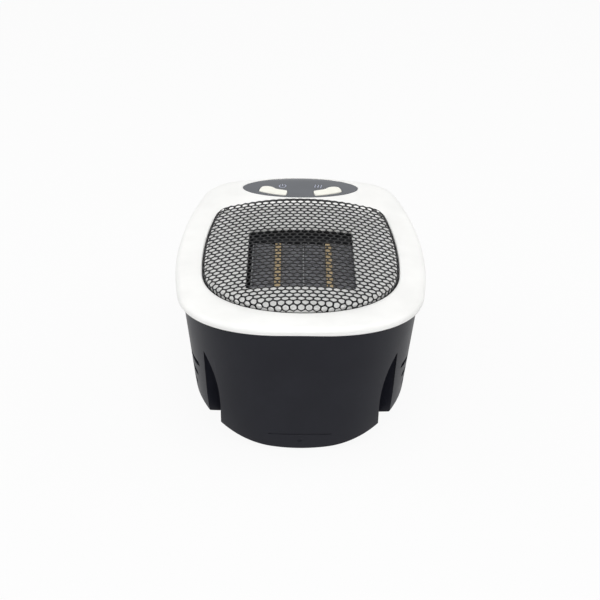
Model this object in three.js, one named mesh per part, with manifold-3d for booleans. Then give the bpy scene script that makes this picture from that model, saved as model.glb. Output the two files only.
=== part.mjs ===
import * as THREE from 'three';
import { mergeVertices } from 'three/addons/utils/BufferGeometryUtils.js';
import Module from 'manifold-3d';

// A small ceramic fan heater lying on its back, with its perforated grille up.
// Millimetres. X is across the face, Y runs from the standing end to the control end.
// Z comes out of the face. Pieces are drawn with z = 0 on the crown of the face.

// Colours and surfaces
const finish = (color, roughness, metalness = 0) =>
  new THREE.MeshStandardMaterial({ color, roughness, metalness });
const whitePlastic = finish(0xf4f4f1, 0.35);
const blackPlastic = finish(0x2e3034, 0.45);
const panelGloss = finish(0x3c3f46, 0.15);
const buttonIvory = finish(0xf1f0e6, 0.3);
const blackMesh = finish(0x1c1a19, 0.4, 0.6);
const ceramicBeige = finish(0xc9b48a, 0.8);
const darkFin = finish(0x4a4b50, 0.45, 0.7);
const bareAluminium = finish(0xb9babc, 0.35, 0.9);
const heatPlastic = finish(0x1f2023, 0.6);
const boardGreen = finish(0x2e6b45, 0.5);
const steel = finish(0x9a9da1, 0.35, 0.9);
const brass = finish(0xb8924a, 0.3, 0.9);
const componentBlue = finish(0x2b4a86, 0.4);
const componentYellow = finish(0xd0a93a, 0.5);
const lampClear = finish(0xd9dde2, 0.2);

// Overall body
const bodyWidth = 136;
const bodyLength = 179.8;
const bodyDepth = 76.3;
const faceCrownRadius = 300;
const backDomeRadius = 112;
const gap = 0.3;
const overrun = 2;

// Body outline: four shallow arcs joined by tangent corners
const sideArcRadius = 260;
const sideArcShift = 3;
const nearArcRadius = 260;
const farArcRadius = 1600;
const nearCornerShare = 0.419;
const nearCornerRadius = nearCornerShare * bodyWidth;
const farCornerRadius = 19;

// Front bezel
const bezelSkin = 2.4;
const bezelSkirt = 3.6;
const skirtWall = 2.4;
const rollDrop = 2.6;
const rollReach = 3;
const farRollReach = 8;
const farBlendStart = 45;
const openingLip = 0.8;

// Perforated grille, pressed from sheet
const grilleSideBorder = 15.2;
const grilleNearBorder = 16.4;
const grilleFarBorder = 41.2;
const grilleWidth = bodyWidth - 2 * grilleSideBorder;
const grilleLength = bodyLength - grilleNearBorder - grilleFarBorder;
const grilleShift = (grilleNearBorder - grilleFarBorder) / 2;
const grilleSideShift = -4;
const grilleRise = 5;
const grilleCrownRadius = 180;
const grilleSheet = 0.7;
const grilleEdgeRadius = 2.5;
const grilleFlange = 2;
const grilleSideRadius = 240;
const grilleNearRadius = 220;
const grilleFarRadius = 700;
const grilleCornerShare = 0.4868;
const grilleNearCorner = grilleCornerShare * grilleWidth;
const grilleFarCorner = 9;
const edgeSheetShare = 0.7;
const holePitch = 9.6;
const holeWeb = 1.8;

// White deck behind the grille, with the outlet window
const deckDrop = 1;
const deckSheet = 1.2;
const deckFlangeSheet = 1.8;
const deckLipInset = 1.1;
const deckLipWall = 1.2;
const deckLipTop = 1.4;
const deckRiserInset = 3;
const deckRiserSlope = 1.5;
const windowSideBorder = 24.3;
const windowEndBorder = 28.35;
const windowOffset = -0.6;
const windowWidth = grilleWidth - 2 * windowSideBorder;
const windowLength = grilleLength - 2 * windowEndBorder;
const windowShift = grilleShift + windowOffset;

// Rear shell
const shellWall = 2.2;
const shellOverhang = 2.2;
const shellCornerStep = 7;
const shellNearCorner = nearCornerRadius - shellCornerStep;
const shellEndDraftDegrees = 3.8;
const shellSideDraftDegrees = 6;

// Pointed recesses at the standing end
const recessSideBorder = 20.75;
const recessEndBorder = 26.1;
const recessOuterX = bodyWidth / 2 - recessSideBorder;
const recessWidth = 6.25;
const recessInnerX = recessOuterX - recessWidth;
const recessLean = 2;
const recessBowReach = 0.8;
const recessTopDrop = 27;
const recessBowDrop = 40;
const recessCurveDrop = 62;
const recessEdgeY = recessEndBorder - bodyLength / 2;
const recessFloorSlope = 0.56;
const recessSteps = 8;

// Air slots in the sides
const slotHeight = 3;
const slotPitch = 7.8;
const slotTopDrop = 40;
const slotEndBorder = 29;
const slotLength = 36.5;
const slotNearY = slotEndBorder - bodyLength / 2;
const slotStagger = 4;
const slotFarY = slotNearY + slotLength;
const slotCount = 3;
const slotReach = 22;
const slotInnerX = bodyWidth / 2 - slotReach;
const slotTipShare = 0.4;

// Control panel and its two buttons
const panelHalfWidth = 34.5;
const panelTipBorder = 13.4;
const panelLowBorder = 31.4;
const panelHighBorder = 3.4;
const panelTipY = bodyLength / 2 - panelTipBorder;
const panelLowY = bodyLength / 2 - panelLowBorder;
const panelHighY = bodyLength / 2 - panelHighBorder;
const buttonOuterRadius = 40;
const buttonWidth = 8;
const buttonInnerRadius = buttonOuterRadius - buttonWidth;
const buttonEdgeInset = 2;
const buttonArcCentreY = panelLowY + buttonEdgeInset + buttonOuterRadius;
const buttonStartX = 8.66;
const buttonEndX = 24.63;
const buttonProud = 0.5;
const buttonTravel = 0.6;
const buttonFlangeSheet = 1;
const buttonFlangeLip = 0.9;
const buttonStemRadius = 2.2;
const buttonTopShares = [[0.6, 1.04], [0.1, 0.97], [-0.02, 0.82], [0.02, 0.5], [-0.06, 0.1], [0.1, 0]];
const switchPointX = 15;
const switchPointRise = 8.5;
const switchPointY = panelLowY + switchPointRise;
const switchSize = 6;
const switchHeight = 3.6;
const plungerRadius = 1.5;
const plungerStand = 0.8;
const plungerLength = 2.6;

// Control board
const boardSheet = 1.6;
const controlBoardDrop = 11.5;
const controlBoardWidth = 64;
const controlBoardNearReach = 5.5;
const controlBoardFarReach = 3.5;
const controlBoardNearY = panelLowY - controlBoardNearReach;
const controlBoardFarY = panelTipY + controlBoardFarReach;
const boardPostX = 29;
const boardPostInset = 4.5;
const boardPostY = controlBoardNearY + boardPostInset;
const postRadius = 3;
const tabWidth = 10;
const tabDepth = 9;
const tabShare = 0.12;
const lampX = 9.8;
const lampSetback = 0.5;
const lampY = panelTipY - lampSetback;
const lampRadius = 1.5;
const lampHeight = 5;

// Ceramic heating core: two stones between four finned packs
const coreShift = 1.5;
const coreDrop = 8;
const coreDepth = 16;
const coreEndRoom = 4.25;
const coreSideRoom = 0.5;
const finLength = windowLength - 2 * coreEndRoom;
const finSheet = 0.5;
const finPitch = 2.8;
const stoneWidth = 3.2;
const dividerWidth = 0.8;
const coreCapLength = 6;
const capLip = 1;
const corePlate = 0.6;
const finPackWidth = (windowWidth / 2 - coreSideRoom - dividerWidth / 2 - stoneWidth - corePlate - 4 * gap) / 2;
const terminalWidth = 6.3;
const terminalLength = 11;
const terminalSheet = 0.8;

// Air duct from the core to the fan
const ductWall = 1.8;
const ductSideRoom = 2;
const ductFlangeReach = 9.4;
const ductFlangeSheet = 2;
const ductTaper = 12;
const fanShare = 0.1822;
const fanRadius = fanShare * (grilleWidth + grilleLength);
const fanRunning = 1.6;
const shroudDepth = 14;
const ductScrewEnd = 6.75;
const ductScrewY = windowLength / 2 - ductScrewEnd;

// Fan rotor
const hubRadius = 15;
const hubWall = 2;
const hubDepth = 12;
const bladeCount = 7;
const bladeSheet = 1.4;
const bladeRootDegrees = 42;
const bladeTipDegrees = 26;
const bladeChord = 19;
const bladeRootShare = 0.7;
const bladeSectionShares = [[-1, -0.3], [-0.4, 0.25], [0.4, 0.25], [1, -0.3], [0.4, -0.25], [-0.4, -0.25]];

// Fan motor and its bracket
const motorRadius = 15.5;
const motorDepth = 17;
const motorEdge = 2;
const motorBossRadius = 4;
const motorBossDepth = 2.2;
const shaftRadius = 1.2;
const bracketSheet = 2.2;
const bracketArms = 4;
const bracketArmWidth = 6;

// Rear guard, whose flat rim is what the heater lies on
const guardLand = 4.5;
const guardRadius = fanRadius + guardLand;
const guardRim = 3;
const guardStand = 0.8;
const guardSheet = 1.8;
const guardRib = 4;
const guardSlotWidth = 4.4;
const guardSlotPitch = 7.2;

// Power board in the control end
const powerBoardDrop = 38;
const powerBoardWidth = 60;
const powerBoardStep = 6;
const powerBoardFarBorder = 12.9;
const powerBoardNearY = windowShift + guardRadius + powerBoardStep;
const powerBoardFarY = bodyLength / 2 - powerBoardFarBorder;
const powerPostInset = 4;

const boardParts = {
  relay: { width: 19, length: 15.4, height: 15, xShare: -0.47, yShare: 0.66, colour: componentBlue },
  terminal_block: { width: 20, length: 8, height: 10, xShare: -0.27, yShare: 0.14, colour: componentBlue },
  filter_capacitor: { width: 8, length: 17, height: 13, xShare: 0.53, yShare: 0.29, colour: componentYellow },
  transformer: { width: 13, length: 14, height: 12, xShare: 0.17, yShare: 0.76, colour: componentYellow },
};
const smoothingXShare = 0.67;
const smoothingYShare = 0.71;
const smoothingRadius = 5;
const smoothingHeight = 16;

// Safety parts
const thermostatRadius = 8;
const thermostatBase = 2;
const thermostatCapRadius = 6.4;
const thermostatDepth = 6;
const thermostatX = 11;
const fuseRadius = 2;
const fuseLength = 12;
const tiltSwitchSize = 8;
const tiltSwitchHeight = 7;

// Power inlet in the back of the standing end
const inletWidth = 25;
const inletLength = 14.5;
const inletDepth = 18;
const inletEndBorder = 18.9;
const inletY = inletEndBorder - bodyLength / 2;
const inletSetback = 1.2;
const socketRadius = 4.2;
const socketDepth = 10;
const pinSpacing = 8.6;
const pinRadius = 1.2;
const pinTail = 5;
const inletFlange = 1.6;
const socketWaistShare = 0.8;

// Screws
const caseScrewSideBorder = 23;
const caseScrewEndBorder = 27.9;
const caseScrewX = bodyWidth / 2 - caseScrewSideBorder;
const caseScrewY = bodyLength / 2 - caseScrewEndBorder;
const screwRadius = 1.5;
const screwHeadRadius = 3.2;
const screwHeadHeight = 2.2;
const caseBossRadius = 5;
const bezelBossRadius = 3.2;
const caseScrewLength = 18;
const caseBossDrop = 16;
const caseHeadDrop = 26;
const smallScrewRadius = 1;
const smallHeadRadius = 2.4;
const smallHeadHeight = 1.4;
const smallScrewLength = 6;
const screwDomeShare = 0.7;

// Curve steps
const outlineSteps = { near: 3, nearCorner: 6, side: 3, farCorner: 4, far: 2 };
const rollSteps = 3;
const crownStep = 20;
const panelSteps = 14;
const buttonSteps = 5;
const bladeSteps = 3;
const screwSides = 8;
const roundSides = 12;
const hubSides = 24;
const shroudSides = 32;
const guardSides = 36;
const shroudSideSteps = 7;
const domeSteps = 18;

const wasm = await Module();
wasm.setup();

const heater = new THREE.Group();
heater.position.z = bodyDepth + guardStand;

const { PI, cos, sin, sqrt, tan } = Math;
const radians = THREE.MathUtils.degToRad;
const lerp = THREE.MathUtils.lerp;

// Solids

function toSolid(geometry) {
  const bare = geometry.clone();
  bare.deleteAttribute('normal');
  bare.deleteAttribute('uv');
  const merged = mergeVertices(bare, 1e-4);
  const vertProperties = new Float32Array(merged.attributes.position.array);
  const triVerts = new Uint32Array(merged.index.array);
  const solid = new wasm.Manifold(new wasm.Mesh({ numProp: 3, vertProperties, triVerts }));
  if (solid.volume() > 0) return solid;
  for (let i = 0; i < triVerts.length; i += 3) {
    [triVerts[i], triVerts[i + 1]] = [triVerts[i + 1], triVerts[i]];
  }
  return new wasm.Manifold(new wasm.Mesh({ numProp: 3, vertProperties, triVerts }));
}

function toGeometry(solid) {
  const mesh = solid.getMesh();
  const geometry = new THREE.BufferGeometry();
  geometry.setAttribute('position', new THREE.BufferAttribute(mesh.vertProperties.slice(), 3));
  geometry.setIndex(new THREE.BufferAttribute(mesh.triVerts.slice(), 1));
  return geometry;
}

function joined(first, ...others) {
  return others.reduce((sum, other) => sum.add(other), first);
}

function cutBy(first, ...others) {
  return others.reduce((rest, other) => rest.subtract(other), first);
}

function boxAt(width, length, height, x, y, z) {
  return toSolid(new THREE.BoxGeometry(width, length, height).translate(x, y, z));
}

// An upright cylinder between two heights.
function drumAt(radius, x, y, lowZ, highZ, sides = roundSides) {
  const geometry = new THREE.CylinderGeometry(radius, radius, highZ - lowZ, sides);
  return toSolid(geometry.rotateX(PI / 2).translate(x, y, (lowZ + highZ) / 2));
}

// A flat outline pushed up between two heights.
function prismAt(points, lowZ, highZ) {
  const shape = new THREE.Shape(points);
  const geometry = new THREE.ExtrudeGeometry(shape, { depth: highZ - lowZ, bevelEnabled: false });
  return toSolid(geometry.translate(0, 0, lowZ));
}

// A body turned about Z from a radius and height profile.
function turned(profile, sides = hubSides) {
  const points = profile.map(([radius, z]) => new THREE.Vector2(radius, z));
  return toSolid(new THREE.LatheGeometry(points, sides).rotateX(PI / 2));
}

// Rings of equal count joined by quads. Open stacks are closed by a fan at each end.
function loft(rings, closesOnItself = false) {
  const count = rings[0].length;
  const points = rings.flat();
  const faces = [];
  const stacks = closesOnItself ? rings.length : rings.length - 1;
  for (let ring = 0; ring < stacks; ring++) {
    const low = ring * count;
    const high = ((ring + 1) % rings.length) * count;
    for (let i = 0; i < count; i++) {
      const j = (i + 1) % count;
      faces.push(low + i, low + j, high + j);
      faces.push(low + i, high + j, high + i);
    }
  }
  if (!closesOnItself) {
    for (const [start, flips] of [[0, true], [points.length - count, false]]) {
      const centre = new THREE.Vector3();
      for (let i = 0; i < count; i++) centre.addScaledVector(points[start + i], 1 / count);
      points.push(centre);
      for (let i = 0; i < count; i++) {
        const a = start + i;
        const b = start + ((i + 1) % count);
        faces.push(points.length - 1, flips ? b : a, flips ? a : b);
      }
    }
  }
  const geometry = new THREE.BufferGeometry().setFromPoints(points);
  geometry.setIndex(faces);
  return toSolid(geometry);
}

// Outlines

// The corner arc that touches two larger arcs from inside, on the +X side.
function cornerBetween(first, second, radius) {
  const reachFirst = first.radius - radius;
  const reachSecond = second.radius - radius;
  const apart = second.centre.clone().sub(first.centre);
  const distance = apart.length();
  const along = (reachFirst ** 2 - reachSecond ** 2 + distance ** 2) / (2 * distance);
  const across = sqrt(reachFirst ** 2 - along ** 2);
  const foot = first.centre.clone().addScaledVector(apart, along / distance);
  const normal = new THREE.Vector2(-apart.y, apart.x).divideScalar(distance);
  const crossings = [foot.clone().addScaledVector(normal, across), foot.clone().addScaledVector(normal, -across)];
  const centre = crossings[0].x > crossings[1].x ? crossings[0] : crossings[1];
  return { centre, radius };
}

// Points and outward normals of a bulged rounded outline, anticlockwise from the near middle.
function bulgedOutline(form) {
  const side = { centre: new THREE.Vector2(form.halfWidth - form.sideRadius, form.sideY), radius: form.sideRadius };
  const near = { centre: new THREE.Vector2(0, form.nearY + form.nearRadius), radius: form.nearRadius };
  const far = { centre: new THREE.Vector2(0, form.farY - form.farRadius), radius: form.farRadius };
  const nearCorner = cornerBetween(side, near, form.nearCorner);
  const farCorner = cornerBetween(side, far, form.farCorner);
  const towards = (from, to) => to.centre.clone().sub(from.centre).angle();
  const signed = (angle) => (angle > PI ? angle - 2 * PI : angle);
  const turns = [-PI / 2, signed(towards(near, nearCorner)), signed(towards(side, nearCorner)),
    signed(towards(side, farCorner)), signed(towards(far, farCorner)), PI / 2];
  const arcs = [near, nearCorner, side, farCorner, far];
  const steps = Object.values(outlineSteps);
  const half = [];
  arcs.forEach((arc, index) => {
    for (let step = 0; step < steps[index]; step++) {
      const angle = lerp(turns[index], turns[index + 1], step / steps[index]);
      half.push({ arc, angle });
    }
  });
  half.push({ arc: far, angle: PI / 2 });
  const right = half.map(({ arc, angle }) => ({
    x: arc.centre.x + arc.radius * cos(angle),
    y: arc.centre.y + arc.radius * sin(angle),
    normal: new THREE.Vector2(cos(angle), sin(angle)),
  }));
  const left = right.slice(1, -1).reverse().map(({ x, y, normal }) => ({
    x: -x, y, normal: new THREE.Vector2(-normal.x, normal.y),
  }));
  right[0].x = 0;
  right[right.length - 1].x = 0;
  return [...right, ...left];
}

// One ring on an outline. The inset and the height can each depend on the place.
function ring(outline, inset, height) {
  return outline.map((place) => {
    const insetHere = typeof inset === 'function' ? inset(place) : inset;
    const x = place.x - place.normal.x * insetHere;
    const y = place.y - place.normal.y * insetHere;
    const z = typeof height === 'function' ? height(x, y) : height;
    return new THREE.Vector3(x, y, z);
  });
}

const bodyOutline = bulgedOutline({
  halfWidth: bodyWidth / 2, sideRadius: sideArcRadius, sideY: sideArcShift,
  nearY: -bodyLength / 2, nearRadius: nearArcRadius, nearCorner: nearCornerRadius,
  farY: bodyLength / 2, farRadius: farArcRadius, farCorner: farCornerRadius,
});
const shellOutline = bulgedOutline({
  halfWidth: bodyWidth / 2 - shellOverhang, sideRadius: sideArcRadius, sideY: sideArcShift,
  nearY: shellOverhang - bodyLength / 2, nearRadius: nearArcRadius, nearCorner: shellNearCorner,
  farY: bodyLength / 2 - shellOverhang, farRadius: farArcRadius, farCorner: farCornerRadius,
});
const grilleOutline = bulgedOutline({
  halfWidth: grilleWidth / 2, sideRadius: grilleSideRadius, sideY: grilleSideShift,
  nearY: grilleShift - grilleLength / 2, nearRadius: grilleNearRadius, nearCorner: grilleNearCorner,
  farY: grilleShift + grilleLength / 2, farRadius: grilleFarRadius, farCorner: grilleFarCorner,
});

// Crowning: front pieces are drawn flat, then bent over the face's crown

const crownDrop = (x, radius = faceCrownRadius) => radius - sqrt(radius ** 2 - x ** 2);

// Splits every edge that spans too far across X, so that a bent piece follows the crown.
function splitAcross(geometry, span) {
  const points = [];
  const position = geometry.attributes.position;
  for (let i = 0; i < position.count; i++) points.push(new THREE.Vector3().fromBufferAttribute(position, i));
  let faces = Array.from(geometry.index.array);
  for (let split = true; split;) {
    split = false;
    const middles = new Map();
    const middleOf = (a, b) => {
      if (Math.abs(points[a].x - points[b].x) <= span) return -1;
      const key = a < b ? `${a}_${b}` : `${b}_${a}`;
      if (!middles.has(key)) middles.set(key, points.push(points[a].clone().lerp(points[b], 0.5)) - 1);
      return middles.get(key);
    };
    const next = [];
    for (let i = 0; i < faces.length; i += 3) {
      const corners = faces.slice(i, i + 3);
      const middle = corners.map((corner, k) => middleOf(corner, corners[(k + 1) % 3]));
      const splits = middle.filter((m) => m >= 0).length;
      if (splits === 0) next.push(...corners);
      if (splits > 0) split = true;
      if (splits === 3) {
        next.push(corners[0], middle[0], middle[2], middle[0], corners[1], middle[1]);
        next.push(middle[2], middle[1], corners[2], middle[0], middle[1], middle[2]);
      }
      if (splits === 1 || splits === 2) {
        const k = splits === 1 ? middle.findIndex((m) => m >= 0) : (middle.findIndex((m) => m < 0) + 1) % 3;
        const [a, b, c] = [corners[k], corners[(k + 1) % 3], corners[(k + 2) % 3]];
        const first = middle[k];
        const second = middle[(k + 1) % 3];
        if (splits === 1) next.push(a, first, c, first, b, c);
        else next.push(first, b, second, a, first, second, a, second, c);
      }
    }
    faces = next;
  }
  const result = new THREE.BufferGeometry().setFromPoints(points);
  result.setIndex(faces);
  return result;
}

function bent(solid, dropOf) {
  const geometry = splitAcross(toGeometry(solid), crownStep);
  const position = geometry.attributes.position;
  for (let i = 0; i < position.count; i++) {
    position.setZ(i, position.getZ(i) - dropOf(position.getX(i), position.getZ(i)));
  }
  return toSolid(geometry);
}

const bentToFace = (solid) => bent(solid, (x) => crownDrop(x));

// Adds one named piece to the heater.
function piece(name, shape, material) {
  const geometry = shape.isBufferGeometry ? shape : toGeometry(shape);
  geometry.computeVertexNormals();
  const mesh = new THREE.Mesh(geometry, material);
  mesh.name = name;
  heater.add(mesh);
  return mesh;
}

// Screws point up; the seat is where the head bears.
function screwShape(radius, headRadius, headHeight, length) {
  return turned([[0, -headHeight], [headRadius * screwDomeShare, -headHeight], [headRadius, 0],
    [radius, 0], [radius, length - radius], [0, length]], screwSides);
}
function placedScrew(name, shape, x, y, z) {
  piece(name, shape, steel).position.set(x, y, z);
}

// The shell's rim follows the bezel, and its wall leans in toward the back.
const shellRim = (x) => -bezelSkirt - gap - crownDrop(x);
const draftAt = (z, sideShare = 0) =>
  (-z - bezelSkirt) * lerp(tan(radians(shellEndDraftDegrees)), tan(radians(shellSideDraftDegrees)), sideShare);
const shellLow = -bodyDepth - overrun;

const bothSides = [-1, 1];
const fourCorners = [[-1, -1], [1, -1], [-1, 1], [1, 1]];

// Front bezel with its rolled edge. The panel is cut from the same skin.

const grilleFlangeTop = -(bezelSkin + gap);
const deckFlangeTop = grilleFlangeTop - grilleSheet - gap;
const farShare = (y) => THREE.MathUtils.smoothstep(y, farBlendStart, bodyLength / 2);
const rollReachAt = (place) => lerp(rollReach, farRollReach, farShare(place.y));
const underSkirtZ = -bezelSkirt;

// The grille's top is more crowned than the face; what rises toward it is bent more and more.
function bentToGrille(solid) {
  return bent(solid, (x, z) => {
    const share = THREE.MathUtils.smoothstep(z, grilleFlangeTop, grilleRise);
    return lerp(crownDrop(x), crownDrop(x, grilleCrownRadius), share);
  });
}

function bezelSkinSolid() {
  const rings = [ring(bodyOutline, 0, underSkirtZ)];
  for (let step = 0; step <= rollSteps; step++) {
    const angle = (PI / 2) * (step / rollSteps);
    const inset = (place) => rollReachAt(place) * (1 - cos(angle));
    rings.push(ring(bodyOutline, inset, -rollDrop * (1 - sin(angle))));
  }
  rings.push(ring(grilleOutline, -gap - openingLip, 0));
  rings.push(ring(grilleOutline, -gap, -openingLip));
  rings.push(ring(grilleOutline, -gap, -bezelSkin));
  rings.push(ring(bodyOutline, skirtWall, -bezelSkin));
  rings.push(ring(bodyOutline, skirtWall, underSkirtZ));
  return loft(rings, true);
}

// The panel's outline, half an ellipse over a shallow arc, moved out or in by an offset.
function lensPoints(offset) {
  const halfWidth = panelHalfWidth + offset;
  const rise = panelHighY + offset - panelTipY;
  const sag = panelTipY - panelLowY + offset;
  const radius = (halfWidth ** 2 + sag ** 2) / (2 * sag);
  const reach = Math.asin(halfWidth / radius);
  const points = [];
  for (let step = 0; step < panelSteps; step++) {
    const turn = PI * (step / panelSteps);
    points.push(new THREE.Vector2(halfWidth * cos(turn), panelTipY + rise * sin(turn)));
  }
  for (let step = 0; step < panelSteps; step++) {
    const angle = lerp(-reach, reach, step / panelSteps);
    points.push(new THREE.Vector2(radius * sin(angle), panelTipY - sag + radius * (1 - cos(angle))));
  }
  return points;
}

// A button is a stretch of a ring that follows the panel's lower edge, with a raised outer corner.
function buttonPoints(side, offset) {
  const stretch = offset / buttonOuterRadius;
  const start = Math.asin(buttonStartX / buttonOuterRadius) - stretch;
  const end = Math.asin(buttonEndX / buttonOuterRadius) + stretch;
  const place = (radius, angle) =>
    new THREE.Vector2(side * radius * sin(angle), buttonArcCentreY - radius * cos(angle));
  const points = [];
  for (let step = 0; step <= buttonSteps; step++) {
    points.push(place(buttonOuterRadius + offset, lerp(start, end, step / buttonSteps)));
  }
  for (const [radiusShare, angleShare] of buttonTopShares) {
    const radius = lerp(buttonInnerRadius - offset, buttonOuterRadius + offset, radiusShare);
    points.push(place(radius, lerp(start, end, angleShare)));
  }
  return points;
}

const buttonFlangeTop = -(bezelSkin + crownDrop(buttonEndX) + gap);
const switchTop = -controlBoardDrop + gap + switchHeight;
const plungerTop = switchTop + plungerStand;
const boardPostFoot = -controlBoardDrop + gap + crownDrop(boardPostX + postRadius);
const caseBossFoot = -caseBossDrop + gap + crownDrop(caseScrewX + bezelBossRadius);

function frontPieces() {
  const skin = bezelSkinSolid();
  const lensHole = prismAt(lensPoints(0), -bezelSkirt - overrun, overrun);
  const lensFill = prismAt(lensPoints(-gap), -bezelSkirt - overrun, overrun);
  const bosses = [];
  const bores = [];
  for (const side of bothSides) {
    bosses.push(drumAt(bezelBossRadius, side * caseScrewX, caseScrewY, caseBossFoot, -bezelSkin / 2));
    bores.push(drumAt(screwRadius + gap, side * caseScrewX, caseScrewY, caseBossFoot - overrun, -bezelSkin));
    bosses.push(drumAt(postRadius, side * boardPostX, boardPostY, boardPostFoot, -bezelSkin / 2));
    bores.push(drumAt(smallScrewRadius + gap, side * boardPostX, boardPostY, boardPostFoot - overrun, -bezelSkin));
    const tabX = side * tabShare * bodyWidth;
    const tabFoot = -bezelSkin / 2 - tabDepth;
    const wallDrift = crownDrop(Math.abs(tabX) + tabWidth / 2, shellNearCorner) + draftAt(tabFoot);
    const wallY = -bodyLength / 2 + shellOverhang + shellWall + wallDrift + gap;
    bosses.push(boxAt(tabWidth, shellWall, tabDepth, tabX, wallY + shellWall / 2, tabFoot + tabDepth / 2));
  }
  piece('front_bezel', bentToFace(cutBy(joined(skin, ...bosses), lensHole, ...bores)), whitePlastic);

  const buttonHoles = bothSides.map((side) =>
    prismAt(buttonPoints(side, gap), -bezelSkirt - overrun, overrun));
  piece('control_panel', bentToFace(cutBy(skin.intersect(lensFill), ...buttonHoles)), panelGloss);

  for (const [name, side] of [['power', -1], ['mode', 1]]) {
    const cap = bentToFace(prismAt(buttonPoints(side, 0), buttonFlangeTop, buttonProud));
    const flange = prismAt(buttonPoints(side, buttonFlangeLip), buttonFlangeTop - buttonFlangeSheet, buttonFlangeTop);
    const stem = drumAt(buttonStemRadius, side * switchPointX, switchPointY, plungerTop + gap, buttonFlangeTop);
    piece(`button_${name}`, joined(cap, flange, stem), buttonIvory);
    const wellFloor = switchTop - plungerLength + plungerStand - buttonTravel - gap;
    const body = boxAt(switchSize, switchSize, switchHeight, side * switchPointX, switchPointY,
      switchTop - switchHeight / 2);
    const well = drumAt(plungerRadius + gap, side * switchPointX, switchPointY, wellFloor, switchTop + overrun);
    piece(`switch_${name}`, body.subtract(well), heatPlastic);
    piece(`switch_plunger_${name}`, drumAt(plungerRadius, side * switchPointX, switchPointY,
      plungerTop - plungerLength, plungerTop), bareAluminium);
    const lampFoot = -controlBoardDrop + gap;
    piece(`lamp_${name}`, drumAt(lampRadius, side * lampX, lampY, lampFoot, lampFoot + lampHeight), lampClear);
    placedScrew(`board_screw_${name}`, boardScrew, side * boardPostX, boardPostY, -controlBoardDrop - boardSheet - gap);
  }
  const boardMiddle = (controlBoardNearY + controlBoardFarY) / 2;
  const board = boxAt(controlBoardWidth, controlBoardFarY - controlBoardNearY, boardSheet,
    0, boardMiddle, -controlBoardDrop - boardSheet / 2);
  const boardHoles = bothSides.map((side) =>
    drumAt(smallScrewRadius + gap, side * boardPostX, boardPostY, -controlBoardDrop - overrun, 0));
  piece('control_board', cutBy(board, ...boardHoles), boardGreen);
}
const boardScrew = screwShape(smallScrewRadius, smallHeadRadius, smallHeadHeight, smallScrewLength);

frontPieces();

// Grille: a pressed pan with a clamped flange and a field of hexagonal holes

function insideOutline(point, points) {
  let inside = false;
  points.forEach((a, i) => {
    const b = points[(i + 1) % points.length];
    if (a.y > point.y !== b.y > point.y && point.x < a.x + ((b.x - a.x) * (point.y - a.y)) / (b.y - a.y)) {
      inside = !inside;
    }
  });
  return inside;
}

function hexagonAt(x, y, acrossFlats) {
  const radius = acrossFlats / sqrt(3);
  return Array.from({ length: 6 }, (unused, corner) => {
    const angle = (PI / 3) * (corner + 0.5);
    return new THREE.Vector2(x + radius * cos(angle), y + radius * sin(angle));
  });
}

// Hexagon places on rows that run across X, kept where the whole hole lies inside the limit.
function hexField(pitch, acrossFlats, limit) {
  const rowStep = (pitch * sqrt(3)) / 2;
  const rows = Math.ceil(grilleLength / 2 / rowStep);
  const columns = Math.ceil(grilleWidth / 2 / pitch);
  const field = [];
  for (let row = -rows; row <= rows; row++) {
    for (let column = -columns; column <= columns; column++) {
      const shift = row % 2 === 0 ? 0 : 0.5;
      const hexagon = hexagonAt((column + shift) * pitch, grilleShift + row * rowStep, acrossFlats);
      if (hexagon.every((corner) => insideOutline(corner, limit))) field.push(hexagon);
    }
  }
  return field;
}

function grille() {
  const flangeTop = grilleFlangeTop;
  const bend = grilleEdgeRadius;
  const soft = bend * (1 - cos(PI / 4));
  const outer = loft([
    ring(grilleOutline, -grilleFlange, flangeTop - grilleSheet),
    ring(grilleOutline, -grilleFlange, flangeTop),
    ring(grilleOutline, 0, flangeTop),
    ring(grilleOutline, 0, grilleRise - bend),
    ring(grilleOutline, soft, grilleRise - soft),
    ring(grilleOutline, bend, grilleRise),
  ]);
  const inner = loft([
    ring(grilleOutline, grilleSheet, flangeTop - overrun),
    ring(grilleOutline, grilleSheet, grilleRise - bend),
    ring(grilleOutline, grilleSheet + soft * edgeSheetShare, grilleRise - soft - grilleSheet * edgeSheetShare),
    ring(grilleOutline, bend + grilleSheet / 2, grilleRise - grilleSheet),
  ]);
  const limit = ring(grilleOutline, bend + holeWeb / 2, 0);
  const holes = hexField(holePitch, holePitch - holeWeb, limit).map((hexagon) =>
    prismAt(hexagon, grilleRise - grilleSheet - overrun, grilleRise + overrun));
  const pan = outer.subtract(inner).subtract(wasm.Manifold.compose(holes));
  piece('mesh_grille', bentToGrille(pan), blackMesh);
}
grille();

// Places of the core and of the duct's collar round it

const stoneX = dividerWidth / 2 + finPackWidth + stoneWidth / 2 + 2 * gap;
const coreHalfWidth = stoneX + stoneWidth / 2 + finPackWidth + corePlate + 2 * gap;
const coreHalfLength = finLength / 2 + coreCapLength;
const coreTop = -coreDrop;
const coreMiddle = coreTop - coreDepth / 2;
const collarX = coreHalfWidth + coreShift + gap;
const collarY = coreHalfLength + gap;
const collarFoot = coreTop - coreDepth - ductSideRoom;
const ductScrewX = collarX + (ductWall + ductFlangeReach) / 2;

// Deck: a white plate under the grille, with a lip along its rim, the outlet window and four screw bosses

const ductFlangeTop = -(coreDrop + gap);
const deckUnderside = -(deckDrop + deckSheet);
const deckBossFoot = ductFlangeTop + gap + crownDrop(ductScrewX + postRadius);

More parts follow.
